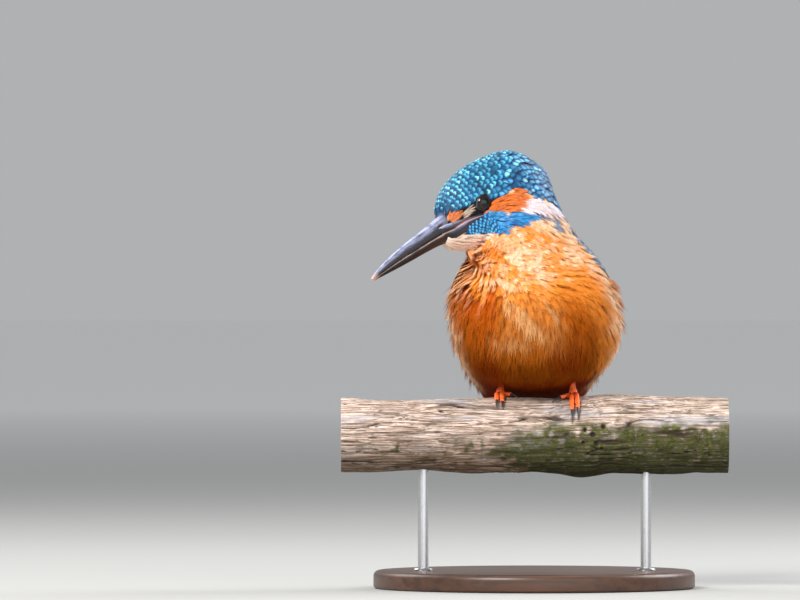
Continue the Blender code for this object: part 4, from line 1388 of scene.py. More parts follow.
class KINGFISHER_OT_wings(PieceOperator, bpy.types.Operator):
    """Both folded wings: a thin body, flight feathers and rows of coverts"""

    bl_idname = "kingfisher.wings"
    bl_label = "Wings"

    # Each row of feathers: name, count, root u and v from first to last, tip u and v, width and layer.
    QUILLS = (
        ("primaries", 9, (0.42, 0.40), (0.96, 0.62), (1.0, 0.80), (0.95, 0.55), 4.6, 0.0),
        ("secondaries", 10, (0.30, 0.26), (0.86, 0.30), (0.80, 0.68), (0.86, 0.34), 5.0, 0.25),
        ("tertials", 4, (0.20, 0.16), (0.30, 0.08), (0.66, 0.56), (0.34, 0.16), 6.0, 0.6),
    )
    COVERTS = (
        ("greater_coverts", 13, (0.24, 0.20), (0.90, 0.20), (0.52, 0.43), (0.92, 0.22), 4.4, 0.5),
        ("median_coverts", 13, (0.20, 0.17), (0.92, 0.18), (0.42, 0.36), (0.93, 0.20), 4.0, 0.62),
    )

    def execute(self, context):
        look = context.scene.kingfisher_plumage
        flight, covert = feather_material("Flight feather"), feather_material("Wing covert")
        web = mix(look.mantle, look.azure, 0.35)
        spot = mix(look.wing_spot, look.azure, 0.3)
        marks = ((outer_edge, 0.45 * spot), (tip_spot, 0.9 * spot))
        for side, word in ((1, "left"), (-1, "right")):
            self.body(side, word, look)
            for seed, row in enumerate(self.QUILLS, start=50):
                self.row(side, word, row, outer_web(side), look.flight, web, flight, seed, QUILL_VANE)
            for seed, (row, (pattern, mark)) in enumerate(zip(self.COVERTS, marks), start=53):
                self.row(side, word, row, pattern, look.mantle, mark, covert, seed, COVERT_VANE)
            self.lesser(side, word, look, covert)
        return {"FINISHED"}

    @staticmethod
    def body(side, word, look):
        """The wing's own thin body under the feathers: rings of its outer and its inner face."""
        u, v = np.broadcast_arrays(np.linspace(0, 0.94, 60)[:, None], np.linspace(0.04, 0.96, 24)[None, :])
        station, angle = wing_place(u, v, side)
        point, _, _, normal = surface_frame(station, angle)
        shown = 1 - smooth(-6, 1, np.abs(np.degrees(angle)) - crown_edge(station))
        shown = shown * smooth(10.5, 12.0, station)
        drop = (coat_depth(station) + 0.2) * (1 - shown)
        outer = point + normal * ((wing_height(u, v) - 0.35) * shown - 0.2 - drop)[..., None]
        inner = point - normal * (0.4 + drop)[..., None]
        points, faces = fanned(np.concatenate([outer, inner[:, ::-1]], axis=1))
        tint = np.tile(np.array(look.mantle) * 0.6, (len(points), 1))
        name, nodes = f"wing_body_{word}", (f"wing_{word}",)
        mesh_piece(name, points, faces, skin_material(), "plumage_blue", nodes, tint, flip=side > 0)

    @staticmethod
    def paths(side, start, end, lift, steps=9):
        """Centre lines between places on the wing, straight in u and v, at a lift."""
        t = np.linspace(0, 1, steps)[None, :]
        u, v = (first[:, None] * (1 - t) + last[:, None] * t for first, last in zip(start, end))
        station, angle = wing_place(u, v, side)
        point, _, _, normal = surface_frame(station, angle)
        risen = 0.1 + 0.9 * smooth(9.6, 12.0, station)
        height = (wing_height(u, v) - 0.75 + lift[:, None]) * risen + 0.35 * t
        roots = np.stack((station[:, 0], angle[:, 0]), axis=1)
        showing = 3 * steps // 4
        seen = np.stack((station[:, showing], np.degrees(angle[:, showing])), axis=1)
        return lines_from(point + normal * height[..., None], normal, roots, seen)

    @staticmethod
    def shown(lines):
        """True for the feathers that the flank doesn't cover."""
        root = np.degrees(np.abs(lines.roots[:, 1])) < crown_edge(lines.roots[:, 0]) + 1
        return (np.abs(lines.seen[:, 1]) < crown_edge(lines.seen[:, 0]) - 3) & root

    def row(self, side, word, row, pattern, base, mark, finish, seed, vane):
        """One row of feathers, whose roots and tips go evenly from the first feather to the last."""
        name, count, root_u, root_v, tip_u, tip_v, width, layer = row
        share = np.linspace(0, 1, count)
        start, end = (
            [first + (last - first) * share for first, last in places]
            for places in ((root_u, root_v), (tip_u, tip_v))
        )
        lines = self.paths(side, start, end, layer + 0.22 * share)
        lines = choose(lines, self.shown(lines))
        wide = np.full(len(lines.length), width)
        base, mark = (np.tile(np.array(shade), (wide.size, 1)) for shade in (base, mark))
        vanes(f"{name}_{word}", lines, wide, pattern, base, mark, finish, seed, vane)

    def lesser(self, side, word, look, finish):
        """Small spotted coverts in rows over the front of the wing, duller at the shoulder."""
        rng = np.random.default_rng(57)
        back, apart = 0.305, 0.033
        rows = [(back - apart * r, 11 + (r % 2)) for r in range(9)]
        u = np.concatenate([np.full(n, place) for place, n in rows])
        v = np.concatenate([np.linspace(0.06, 0.97, n) for _, n in rows])
        u = np.maximum(u + rng.normal(0, 0.004, u.size), 0.005)
        end = (u + 0.08, v * 0.98 + rng.normal(0, 0.01, u.size))
        lines = self.paths(side, (u, v), end, 0.6 + 1.2 * (back - u), steps=6)
        mark = np.array(look.wing_spot) * rng.uniform(0.7, 1.15, (u.size, 1))
        front = 0.8 * (1 - smooth(9.9, 10.7, lines.seen[:, 0]))
        base = mix(look.mantle, np.array(look.slate) * 0.6, front)
        mark = np.clip(mix(mark, mix(look.slate, look.white, rng.uniform(0, 0.8, u.size)), front), 0, 1)
        wide = rng.uniform(2.6, 3.2, u.size)
        kept = self.shown(lines)
        name = f"lesser_coverts_{word}"
        coat = (choose(lines, kept), wide[kept], tip_spot, base[kept], mark[kept])
        vanes(name, *coat, finish, 58, LESSER_VANE)


class KINGFISHER_OT_tail(PieceOperator, bpy.types.Operator):
    """The short tail: twelve feathers that overlap towards the middle pair"""

    bl_idname = "kingfisher.tail"
    bl_label = "Tail"

    COUNT = 12

    def execute(self, context):
        look = context.scene.kingfisher_plumage
        order = np.arange(self.COUNT) - (self.COUNT - 1) / 2
        outer = (np.abs(order[:, None]) / order[-1]) ** 2
        t = np.linspace(0, 1, 9)
        middle = through(TAIL_STATIONS, 0.98 * t * (len(TAIL_STATIONS) - 1))
        x = order[:, None] * np.interp(t, (0, 1), (0.9, 1.25))[None, :]
        y = middle[None, :, 0] - 0.9 * outer * t[None, :]
        z = middle[None, :, 1] + 0.7 * outer * t[None, :]
        lift = 0.75 - 0.1 * np.abs(order)
        direction = unit(np.gradient(middle, axis=0))
        normal = np.stack((np.zeros(t.size), -direction[:, 1], direction[:, 0]), axis=1)
        points = np.stack((x, y, z), axis=-1) + normal[None] * lift[:, None, None]
        roots = np.stack((np.full(self.COUNT, TAIL_END + 0.5), order * 0.05), axis=1)
        lines = lines_from(points, np.broadcast_to(normal, points.shape), roots)
        base = np.tile(mix(look.flight, look.mantle, 0.5), (self.COUNT, 1))
        mark = np.tile(mix(look.azure, look.nape, 0.35), (self.COUNT, 1))
        wide, finish = np.full(self.COUNT, 4.2), feather_material("Tail feather")
        vanes("tail_feathers", lines, wide, both_webs, base, mark, finish, 61, TAIL_VANE, ("tail",))
        return {"FINISHED"}


# ---- Bare parts ----


class KINGFISHER_OT_eyes(PieceOperator, bpy.types.Operator):
    """Both eyes and their bare lids, turned about each eye's axis"""

    bl_idname = "kingfisher.eyes"
    bl_label = "Eyes and lids"

    LID_RADIUS = 2.8
    LID_THICKNESS = 0.34

    def execute(self, context):
        bare = context.scene.kingfisher_bare
        for side, word in ((1, "left"), (-1, "right")):
            self.ball(side, word, bare)
            self.lid(side, word, bare)
        return {"FINISHED"}

    @staticmethod
    def ball(side, word, bare):
        """The eyeball, with a black pupil, a dark iris and black beyond it."""
        rows, columns = 40, 64
        polar = np.linspace(0.001, math.pi - 0.001, rows)[:, None]
        turn = circle(columns)
        radius, out = EYE_RADIUS * np.sin(polar), EYE_RADIUS * np.cos(polar)
        points = from_head(radius * np.cos(turn), side * (EYE_SPREAD + out), radius * np.sin(turn))
        made = Nodes(f"Eye {word}")
        reach = made.away(from_head(0.0, side * (EYE_SPREAD + EYE_RADIUS), 0.0) + BIRD_PLACE)
        pupil, iris, rim = 0.001, tuple(bare.iris), 0.002
        stops = ((0.0, pupil), (0.38, pupil), (0.44, iris), (0.6, iris), (0.7, rim))
        shade = made.ramp(made.map(reach, 0.0, 4.0), *stops)
        finish = made.surface(Base_Color=shade, Roughness=0.03, IOR=1.45)
        faces = [grid_faces(rows, columns, closed=True)]
        mesh_piece(f"eyeball_{word}", points, faces, finish, "eye", (f"eye_{word}",), flip=side < 0)

    def lid(self, side, word, bare):
        """A rim whose section is a half circle, from just inside the eyeball's surface out to the skin. It
        draws out to a point in front and behind."""
        rows, columns = 16, 120
        middle, thick = self.LID_RADIUS, self.LID_THICKNESS
        bend = np.linspace(-0.4, 1.05, rows)[:, None] * math.pi
        turn = circle(columns)
        radius = middle - thick * np.cos(bend)
        seat = math.sqrt(EYE_RADIUS**2 - middle**2)
        out = seat + thick * 0.8 * np.sin(bend) - 0.5 * np.clip(radius - middle, 0, 1)
        point = 1 + 0.16 * np.abs(np.cos(turn)) ** 12 * smooth(middle - 0.1, middle + thick, radius)
        ahead = radius * np.cos(turn) * 1.03 * point
        points = from_head(ahead, side * (EYE_SPREAD + out), radius * np.sin(turn))
        made = Nodes(f"Eyelid {word}")
        grain = made.noise(made.place(), 2.4, 5.0)
        lid = np.array(bare.lid)
        shade = made.blend(made.map(grain, 0.35, 0.65), lid * 0.25, lid * 0.7)
        finish = made.surface(Base_Color=shade, Roughness=0.4, Normal=made.bump(grain, 0.6, 0.12))
        faces = [grid_faces(rows, columns, closed=True)]
        mesh_piece(f"eyelid_{word}", points, faces, finish, "eye", flip=side > 0)


# Outline of the bill in the head's frame: f, ridge h, edge h, keel h and half the width.
BILL_TABLE = np.array((
    (7.0, 1.6, -2.4, -5.6, 6.9),
    (11.0, 2.3, -2.6, -6.4, 5.3),
    (15.5, 2.0, -2.75, -6.8, 3.9),
    (19.0, 1.5, -2.75, -6.4, 3.45),
    (24.0, 0.95, -2.85, -6.05, 2.85),
    (30.0, 0.35, -3.0, -5.85, 2.25),
    (36.5, -0.75, -3.3, -5.5, 1.65),
    (42.0, -2.1, -3.8, -5.1, 1.1),
    (45.3, -3.25, -4.15, -4.86, 0.55),
    (46.1, -3.75, -4.25, -4.6, 0.16),
))
BILL_REACH = 46.0
# The powers of the sweep's cosine in the bill's side and of its sine in the bill's height.
BILL_ROUND = 0.9
BILL_RISE = 1.3
# The bare side of the face from the bill to the corner of the mouth: f, and h of its upper edge, of the cut
# between the jaws and of its lower edge.
GAPE_STATIONS = (
    (16.8, -0.6, -2.75, -6.2),
    (14.6, -0.4, -2.7, -6.4),
    (13.2, -0.5, -2.65, -6.2),
    (11.0, -0.85, -2.45, -5.8),
    (9.4, -1.1, -2.3, -5.5),
    (8.2, -1.35, -2.35, -4.6),
    (6.6, -1.7, -2.5, -4.2),
    (4.8, -2.2, -2.8, -4.0),
    (3.2, -2.75, -3.2, -3.8),
    (2.2, -3.3, -3.45, -3.6),
)


def bill_width(f, h):
    """Half the bill's width at places along and up it, by the same section as the horn's."""
    ridge, edge, keel, width = (np.interp(f, BILL_TABLE[:, 0], column) for column in BILL_TABLE[:, 1:].T)
    reach = np.where(h > edge, ridge - edge, edge - keel)
    sine = np.clip(np.abs(h - edge) / reach, 0, 0.999) ** (1 / BILL_RISE)
    return width * np.sqrt(1 - sine**2) ** BILL_ROUND


def face_side(f, h):
    """Stations and angles on the left of the head at given f and h: the nearest place of a grid, mended by
    Newton's steps, which are kept short."""
    forward, _, up = head_axes()
    stations, angles = np.linspace(0.05, 6, 120), np.radians(np.linspace(20, 150, 130))
    station, angle = np.meshgrid(stations, angles, indexing="ij")
    points = body_surface(station, angle) - HEAD_PLACE
    far = (f[..., None, None] - points @ forward) ** 2 + (h[..., None, None] - points @ up) ** 2
    best = far.reshape(*f.shape, -1).argmin(axis=-1)
    s, a = station.ravel()[best], angle.ravel()[best]
    for _ in range(5):
        point, down, around, _ = surface_frame(s, a)
        miss_f, miss_h = f - (point - HEAD_PLACE) @ forward, h - (point - HEAD_PLACE) @ up
        fs, fa, hs, ha = down @ forward, around @ forward, down @ up, around @ up
        size = fs * ha - fa * hs
        size = np.where(np.abs(size) < 0.05, 0.05, size)
        s = np.clip(s + np.clip((miss_f * ha - miss_h * fa) / size, -0.2, 0.2), 0.03, 7)
        a = a + np.clip((miss_h * fs - miss_f * hs) / size, -0.1, 0.1)
    return s, a


class KINGFISHER_OT_bill(PieceOperator, bpy.types.Operator):
    """Both halves of the bill, from inside the face to the tip, and the bare sides of the mouth"""

    bl_idname = "kingfisher.bill"
    bl_label = "Bill"

    def execute(self, context):
        finish = self.horn(context.scene.kingfisher_bare)
        for name, sign, column in (("bill_upper", 1, 1), ("bill_lower", -1, 3)):
            self.half(name, sign, column, finish)
        for side, word in ((1, "left"), (-1, "right")):
            self.gape(side, word, finish)
        return {"FINISHED"}

    @staticmethod
    def half(name, sign, column, finish):
        """Sections across the bill: the cosine of the sweep gives the side and its sine, raised to a power,
        the height from the cutting edge to the ridge, so that the ridge is narrow and the flanks are flat. A
        slit is pressed in at each nostril."""
        rows = through(BILL_TABLE, np.linspace(0, len(BILL_TABLE) - 1, 170))
        sweep = np.linspace(0, math.pi, 49)[None, :]
        f, width, edge = rows[:, 0:1], rows[:, 4:5], rows[:, 2:3] + sign * 0.07
        height = np.abs(rows[:, column : column + 1] - edge)
        lateral = np.sign(np.cos(sweep)) * np.abs(np.cos(sweep)) ** BILL_ROUND * width
        vertical = edge + sign * height * np.sin(sweep) ** BILL_RISE
        slit = np.exp(-(((f - 15.8) / 1.5) ** 2) - ((vertical + 0.3) / 0.45) ** 2) if sign > 0 else 0
        groove = np.exp(-(((vertical - edge) / 0.3) ** 2)) * smooth(9, 16, f)
        lateral = lateral * (1 - 0.12 * slit - 0.05 * groove)
        inner = slice(-2, 0, -1)
        floor = from_head(f, lateral, edge + 0 * vertical)[:, inner]
        ring = np.concatenate([from_head(f, lateral, vertical), floor], axis=1)
        up = (vertical - edge) / np.maximum(height, 0.01)
        up = np.concatenate([up, 0 * up[:, inner]], axis=1)
        shape = np.stack((np.broadcast_to(f / BILL_REACH, up.shape), 0.5 + 0.5 * up), axis=-1)
        faces, maps = ring_faces(*up.shape), {"shape": shape}
        mesh_piece(f"{name}_horn", ring, faces, finish, "bill", (name,), maps=maps, flip=sign < 0)

    @staticmethod
    def gape(side, word, finish):
        """The bare skin from the bill to the corner of the mouth. It lies on the face, swells between its
        edges with the square root of a cosine, and runs into the bill's own side in front."""
        rows = through(GAPE_STATIONS, np.linspace(0, len(GAPE_STATIONS) - 1, 90))
        v = np.linspace(-1, 1, 36)[None, :]
        f = rows[:, 0:1] * np.ones_like(v)
        high, cut, low = (rows[:, k : k + 1] for k in (1, 2, 3))
        h = np.where(v < 0, cut - (high - cut) * v, cut + (low - cut) * v)
        near = np.minimum(f, 12.2)
        station, angle = face_side(near, h)
        point, _, _, normal = surface_frame(station, angle)
        swell = np.sqrt(np.clip(np.cos(0.5 * math.pi * v), 0, 1)) * smooth(2.0, 5.0, f)
        lip = np.exp(-(((v - 0.16) / 0.13) ** 2)) - 0.9 * np.exp(-((v / 0.05) ** 2))
        point = point + normal * (-0.25 + 0.5 * swell + 0.16 * lip * smooth(2.5, 5, f))[..., None]
        local = (point - HEAD_PLACE) @ head_axes().T
        share = smooth(12.6, 16.4, f)
        lateral = local[..., 1] * (1 - share) + (bill_width(f, h) - 0.12 + 0.25 * (1 - share)) * share
        ahead = (local[..., 0] + f - near) * (1 - share) + f * share
        points = from_head(ahead, side * lateral, local[..., 2] * (1 - share) + h * share)
        maps = {"shape": np.stack((f / BILL_REACH, 0.5 - 0.5 * v * np.ones_like(f)), axis=-1)}
        mesh_piece(f"gape_{word}", points, [grid_faces(*f.shape)], finish, "bill", maps=maps, flip=side > 0)

    @staticmethod
    def horn(bare):
        """Polished horn. Up the upper jaw it goes from black at the cut through lavender grey to a pale
        ridge, partly the horn's grey and partly painted sky reflection, with a painted highlight along the
        ridge. Down the lower jaw it goes from a pale lip to black. Near the face the lip turns to the red of
        the gape. The map's first number is f over the bill's reach, its second is 0.5 at the cut, 1 at the
        ridge, 0 at the keel."""
        horn = Nodes("Bill horn")
        spot = horn.add("ShaderNodeSeparateXYZ", {"Vector": horn.place(uv="shape")}).outputs
        streak = horn.noise(horn.place(uv="shape", scale=(9, 60, 1)), 1.0, 6.0)
        blotch = horn.noise(horn.place(uv="shape", scale=(14, 7, 1)), 1.0, 4.0)
        level = horn.math("ADD", spot["Y"], horn.map(streak, 0.3, 0.7, -0.035, 0.035))
        dark, grey_and_reflection, lip = np.array(bare.bill), np.array(bare.bill_sheen), np.array(bare.lip)
        lower = ((0.0, dark * 0.9), (0.3, dark * 0.7), (0.40, dark * 1.6), (0.44, lip * 0.55), (0.475, lip))
        # The lavender grey up the upper jaw and the pale ridge are partly the horn's grey, partly painted sky
        # reflection and a painted highlight along the ridge.
        upper = ((0.492, dark * 0.2), (0.62, dark * 0.45), (0.72, dark * 1.5), (0.82, grey_and_reflection * 0.55))
        ridge = ((0.9, grey_and_reflection * 0.8), (0.935, grey_and_reflection * 0.35), (0.965, grey_and_reflection * 1.4))
        shade = horn.ramp(level, *lower, *upper, *ridge)
        shade = horn.blend(horn.map(blotch, 0.46, 0.66, 0.0, 0.6), shade, dark * 0.8)
        shade = horn.blend(horn.map(spot["X"], 0.93, 1.0, 0.0, 0.85), shade, lip * 1.3)
        # Near the face: light streaks and a lavender band by the cut, partly painted reflection.
        back = horn.blend(horn.map(streak, 0.35, 0.65), dark * 0.9, dark * 3.0)
        band = horn.ramp(level, (0.30, 0), (0.40, 1), (0.47, 1), (0.50, 0))
        back = horn.blend(horn.parts(band)["Red"], back, grey_and_reflection * 0.7)
        shade = horn.blend(horn.map(spot["X"], 0.33, 0.2), shade, back)
        red = horn.ramp(level, (0.47, 0), (0.50, 1), (0.56, 0.6), (0.62, 0))
        gape = horn.math("MULTIPLY", horn.map(spot["X"], 0.28, 0.2), horn.parts(red)["Red"])
        shade = horn.blend(gape, shade, tuple(bare.gape))
        slit = horn.place(uv="shape", scale=(31, 14, 1), shift=(-10.7, -10.9, 0))
        slit = horn.add("ShaderNodeVectorMath", {0: slit}, operation="LENGTH").outputs["Value"]
        shade = horn.blend(horn.map(slit, 1.0, 0.45), shade, dark * (1.6, 0.7, 0.5))
        rough = horn.map(streak, 0.3, 0.7, 0.28, 0.42)
        relief = horn.bump(streak, 0.3, 0.08)
        return horn.surface(Base_Color=shade, Roughness=rough, Specular_IOR_Level=0.35, Normal=relief)


# The branch and the feet on it, as in the solids.
PERCH_RADIUS = 12.4
PERCH_THICKENING = 0.7
PERCH_LENGTH = 132.0
FOOT_GAP = 0.1
TARSUS_RADIUS = 1.05
TARSUS_TOP = 10.5
TOE_RADIUS = 0.85
BALL_LIFT = TOE_RADIUS + 0.5
CLAW_LENGTH = 4.8
# Each foot: side, place beside the bird's middle, angle round the branch and reach of its toes.
FEET = (
    ("left", 1, 13.2, 91.0, 1.0),
    ("right", -1, 11.7, 80.0, 0.8),
)
# Each toe: name, offset from the foot's middle, turn in degrees, length, and whether it points forwards.
TOES = (
    ("outer", 1.0, 2.0, 11.0, 1),
    ("middle", -0.6, 0.0, 11.8, 1),
    ("inner", -0.8, -42.0, 5.4, 1),
    ("hind", 0.0, 0.0, 6.0, -1),
)


def branch_outline(x, angle, lift):
    """Points on the branch: angle 90 is its top, 180 the side the bird faces. The radius grows along it,
    swells above and below where twigs once grew, and is lifted by a height."""
    x, angle = np.broadcast_arrays(np.asarray(x, float), np.radians(np.asarray(angle, float)))
    radius = PERCH_RADIUS + PERCH_THICKENING * np.clip(x / PERCH_LENGTH + 0.5, 0, 1)
    radius = radius + 1.3 * np.exp(-(((x - 24) / 13) ** 2)) * np.clip(np.sin(angle), 0, 1)
    radius = radius + 1.9 * np.exp(-(((x - 17) / 8) ** 2)) * np.clip(-np.sin(angle - 0.2), 0, 1) ** 1.5
    radius = radius + 0.35 * np.sin(x / 9.0 + 2 * angle) + 0.2 * np.sin(x / 5.1 - 3 * angle + 1.0)
    radius = radius + lift
    return np.stack((x, radius * np.cos(angle), -PERCH_RADIUS - 0.4 + radius * np.sin(angle)), axis=-1)


def over_branch(foot, toe, along, lift):
    """Points over the branch at distances along a toe from the ball of its foot."""
    _, side, place, stance, reach = foot
    _, offset, turn, _, way = toe
    turn = math.radians(turn)
    along = np.asarray(along, float) * reach
    x = side * (place + offset + along * math.sin(turn))
    angle = stance + way * np.degrees(along * math.cos(turn) / (PERCH_RADIUS + TOE_RADIUS))
    return branch_outline(x, angle, lift)


def tube(path, radii, sides=20, flatten=1.0):
    """A tube's rings: at each point of the path a circle square to it, flattened upwards."""
    forward = unit(np.gradient(path, axis=0))
    across = np.array((1.0, 0.0, 0.0))
    side = unit(across - forward * (forward @ across)[:, None])
    up = np.cross(forward, side)
    turn = circle(sides)[..., None]
    radii = radii[:, None, None]
    return path[:, None] + radii * (np.cos(turn) * side[:, None] + flatten * np.sin(turn) * up[:, None])


def join_tubes(tubes):
    """Points and faces of several tubes as one mesh, with their ends closed."""
    sides, ends, start = [], [], 0
    for rings in tubes:
        side, *caps = (part + start for part in ring_faces(*rings.shape[:2]))
        sides.append(side)
        ends += caps
        start += rings.shape[0] * rings.shape[1]
    return np.concatenate([rings.reshape(-1, 3) for rings in tubes]), sides + ends


class KINGFISHER_OT_feet(PieceOperator, bpy.types.Operator):
    """Legs, toes and claws"""

    bl_idname = "kingfisher.feet"
    bl_label = "Legs and feet"

    def execute(self, context):
        bare = context.scene.kingfisher_bare
        skin, horn = self.skin(bare), self.horn(bare)
        for foot in FEET:
            word = foot[0]
            points, faces = join_tubes([self.tarsus(foot), *(self.toe(foot, toe) for toe in TOES)])
            mesh_piece(f"foot_{word}", points, faces, skin, "foot_skin", (f"leg_{word}",), flip=True)
            points, faces = join_tubes([self.claw(foot, toe) for toe in TOES])
            nodes = [f"claw_{word}_{toe[0]}" for toe in TOES]
            mesh_piece(f"claws_{word}", points, faces, horn, "claw", nodes, flip=True)
        return {"FINISHED"}

    @staticmethod
    def tarsus(foot):
        """The bare leg: narrow in the middle, with fine rings of scales, down into the ball of the foot."""
        _, side, place, stance, _ = foot
        ball = branch_outline(side * place, stance, BALL_LIFT)
        top = np.array((side * (place - 0.6), ball[1] + 0.8, TARSUS_TOP))
        t = np.linspace(0, 1, 60)
        radii = TARSUS_RADIUS * (1.0 + 0.5 * np.exp(-((t / 0.16) ** 2)) - 0.06 * np.sin(math.pi * t))
        radii = radii * (1 + 0.02 * np.sin(t * 70)) * np.sqrt(np.clip(t / 0.05, 0.02, 1))
        return tube(ball + (top - ball) * t[:, None], radii)

    @staticmethod
    def toe(foot, toe):
        """A toe with a pad under each joint, and scales across its back, that is drawn in at both ends."""
        length = toe[3]
        t = np.linspace(-0.04, 1.02, 70)
        pads = 0.09 * np.cos(2 * math.pi * 3 * t) * smooth(0.1, 0.3, t)
        radii = TOE_RADIUS * (1.02 - 0.16 * t + pads + 0.02 * np.sin(t * length * 9))
        radii = radii * np.sqrt(np.clip((1.03 - t) / 0.08, 0.02, 1))
        radii = radii * np.sqrt(np.clip((t + 0.05) / 0.06, 0.02, 1))
        return tube(over_branch(foot, toe, t * length, TOE_RADIUS + FOOT_GAP), radii, flatten=0.94)

    @staticmethod
    def claw(foot, toe):
        """A claw that tapers as the square root of what is left of it, and arches off the branch."""
        t = np.linspace(0, 1, 24)
        radii = 0.62 * np.sqrt(np.clip(1 - t, 0.004, 1)) * (1 - 0.45 * t)
        lift = FOOT_GAP + 0.75 * radii + 0.5 * np.sin(math.pi * t * 0.92) + 0.25 * (1 - t)
        path = over_branch(foot, toe, toe[3] - 0.5 + (CLAW_LENGTH + 0.3) * t, lift)
        return tube(path, radii, sides=16)

    @staticmethod
    def skin(bare):
        """Scaled skin: cells across the toes in orange-red, paler on their crests."""
        made = Nodes("Foot skin")
        inputs = {"Vector": made.place(scale=(1.0, 1.7, 1.7)), "Scale": 1.25}
        cells = made.add("ShaderNodeTexVoronoi", inputs, feature="DISTANCE_TO_EDGE").outputs["Distance"]
        crest = made.map(cells, 0.0, 0.25)
        foot = np.array(bare.foot)
        return made.surface(
            Base_Color=made.blend(crest, foot * (1.0, 0.8, 0.7), np.clip(foot * (1.0, 1.45, 1.2), 0, 1)),
            Roughness=0.42,
            Subsurface_Weight=0.15,
            Subsurface_Scale=0.001,
            Normal=made.bump(crest, 0.5, 0.12),
        )

    @staticmethod
    def horn(bare):
        """Dark horn with fine streaks along the claw."""
        made = Nodes("Claw horn")
        claw = np.array(bare.claw)
        grain = made.noise(made.place(scale=(2.0, 0.6, 0.6)), 1.5, 4.0)
        shade = made.blend(made.map(grain, 0.3, 0.7), claw * 0.6, claw * 1.6)
        return made.surface(Base_Color=shade, Roughness=0.3, Normal=made.bump(grain, 0.3, 0.05))


# ---- Branch, stand and stage ----


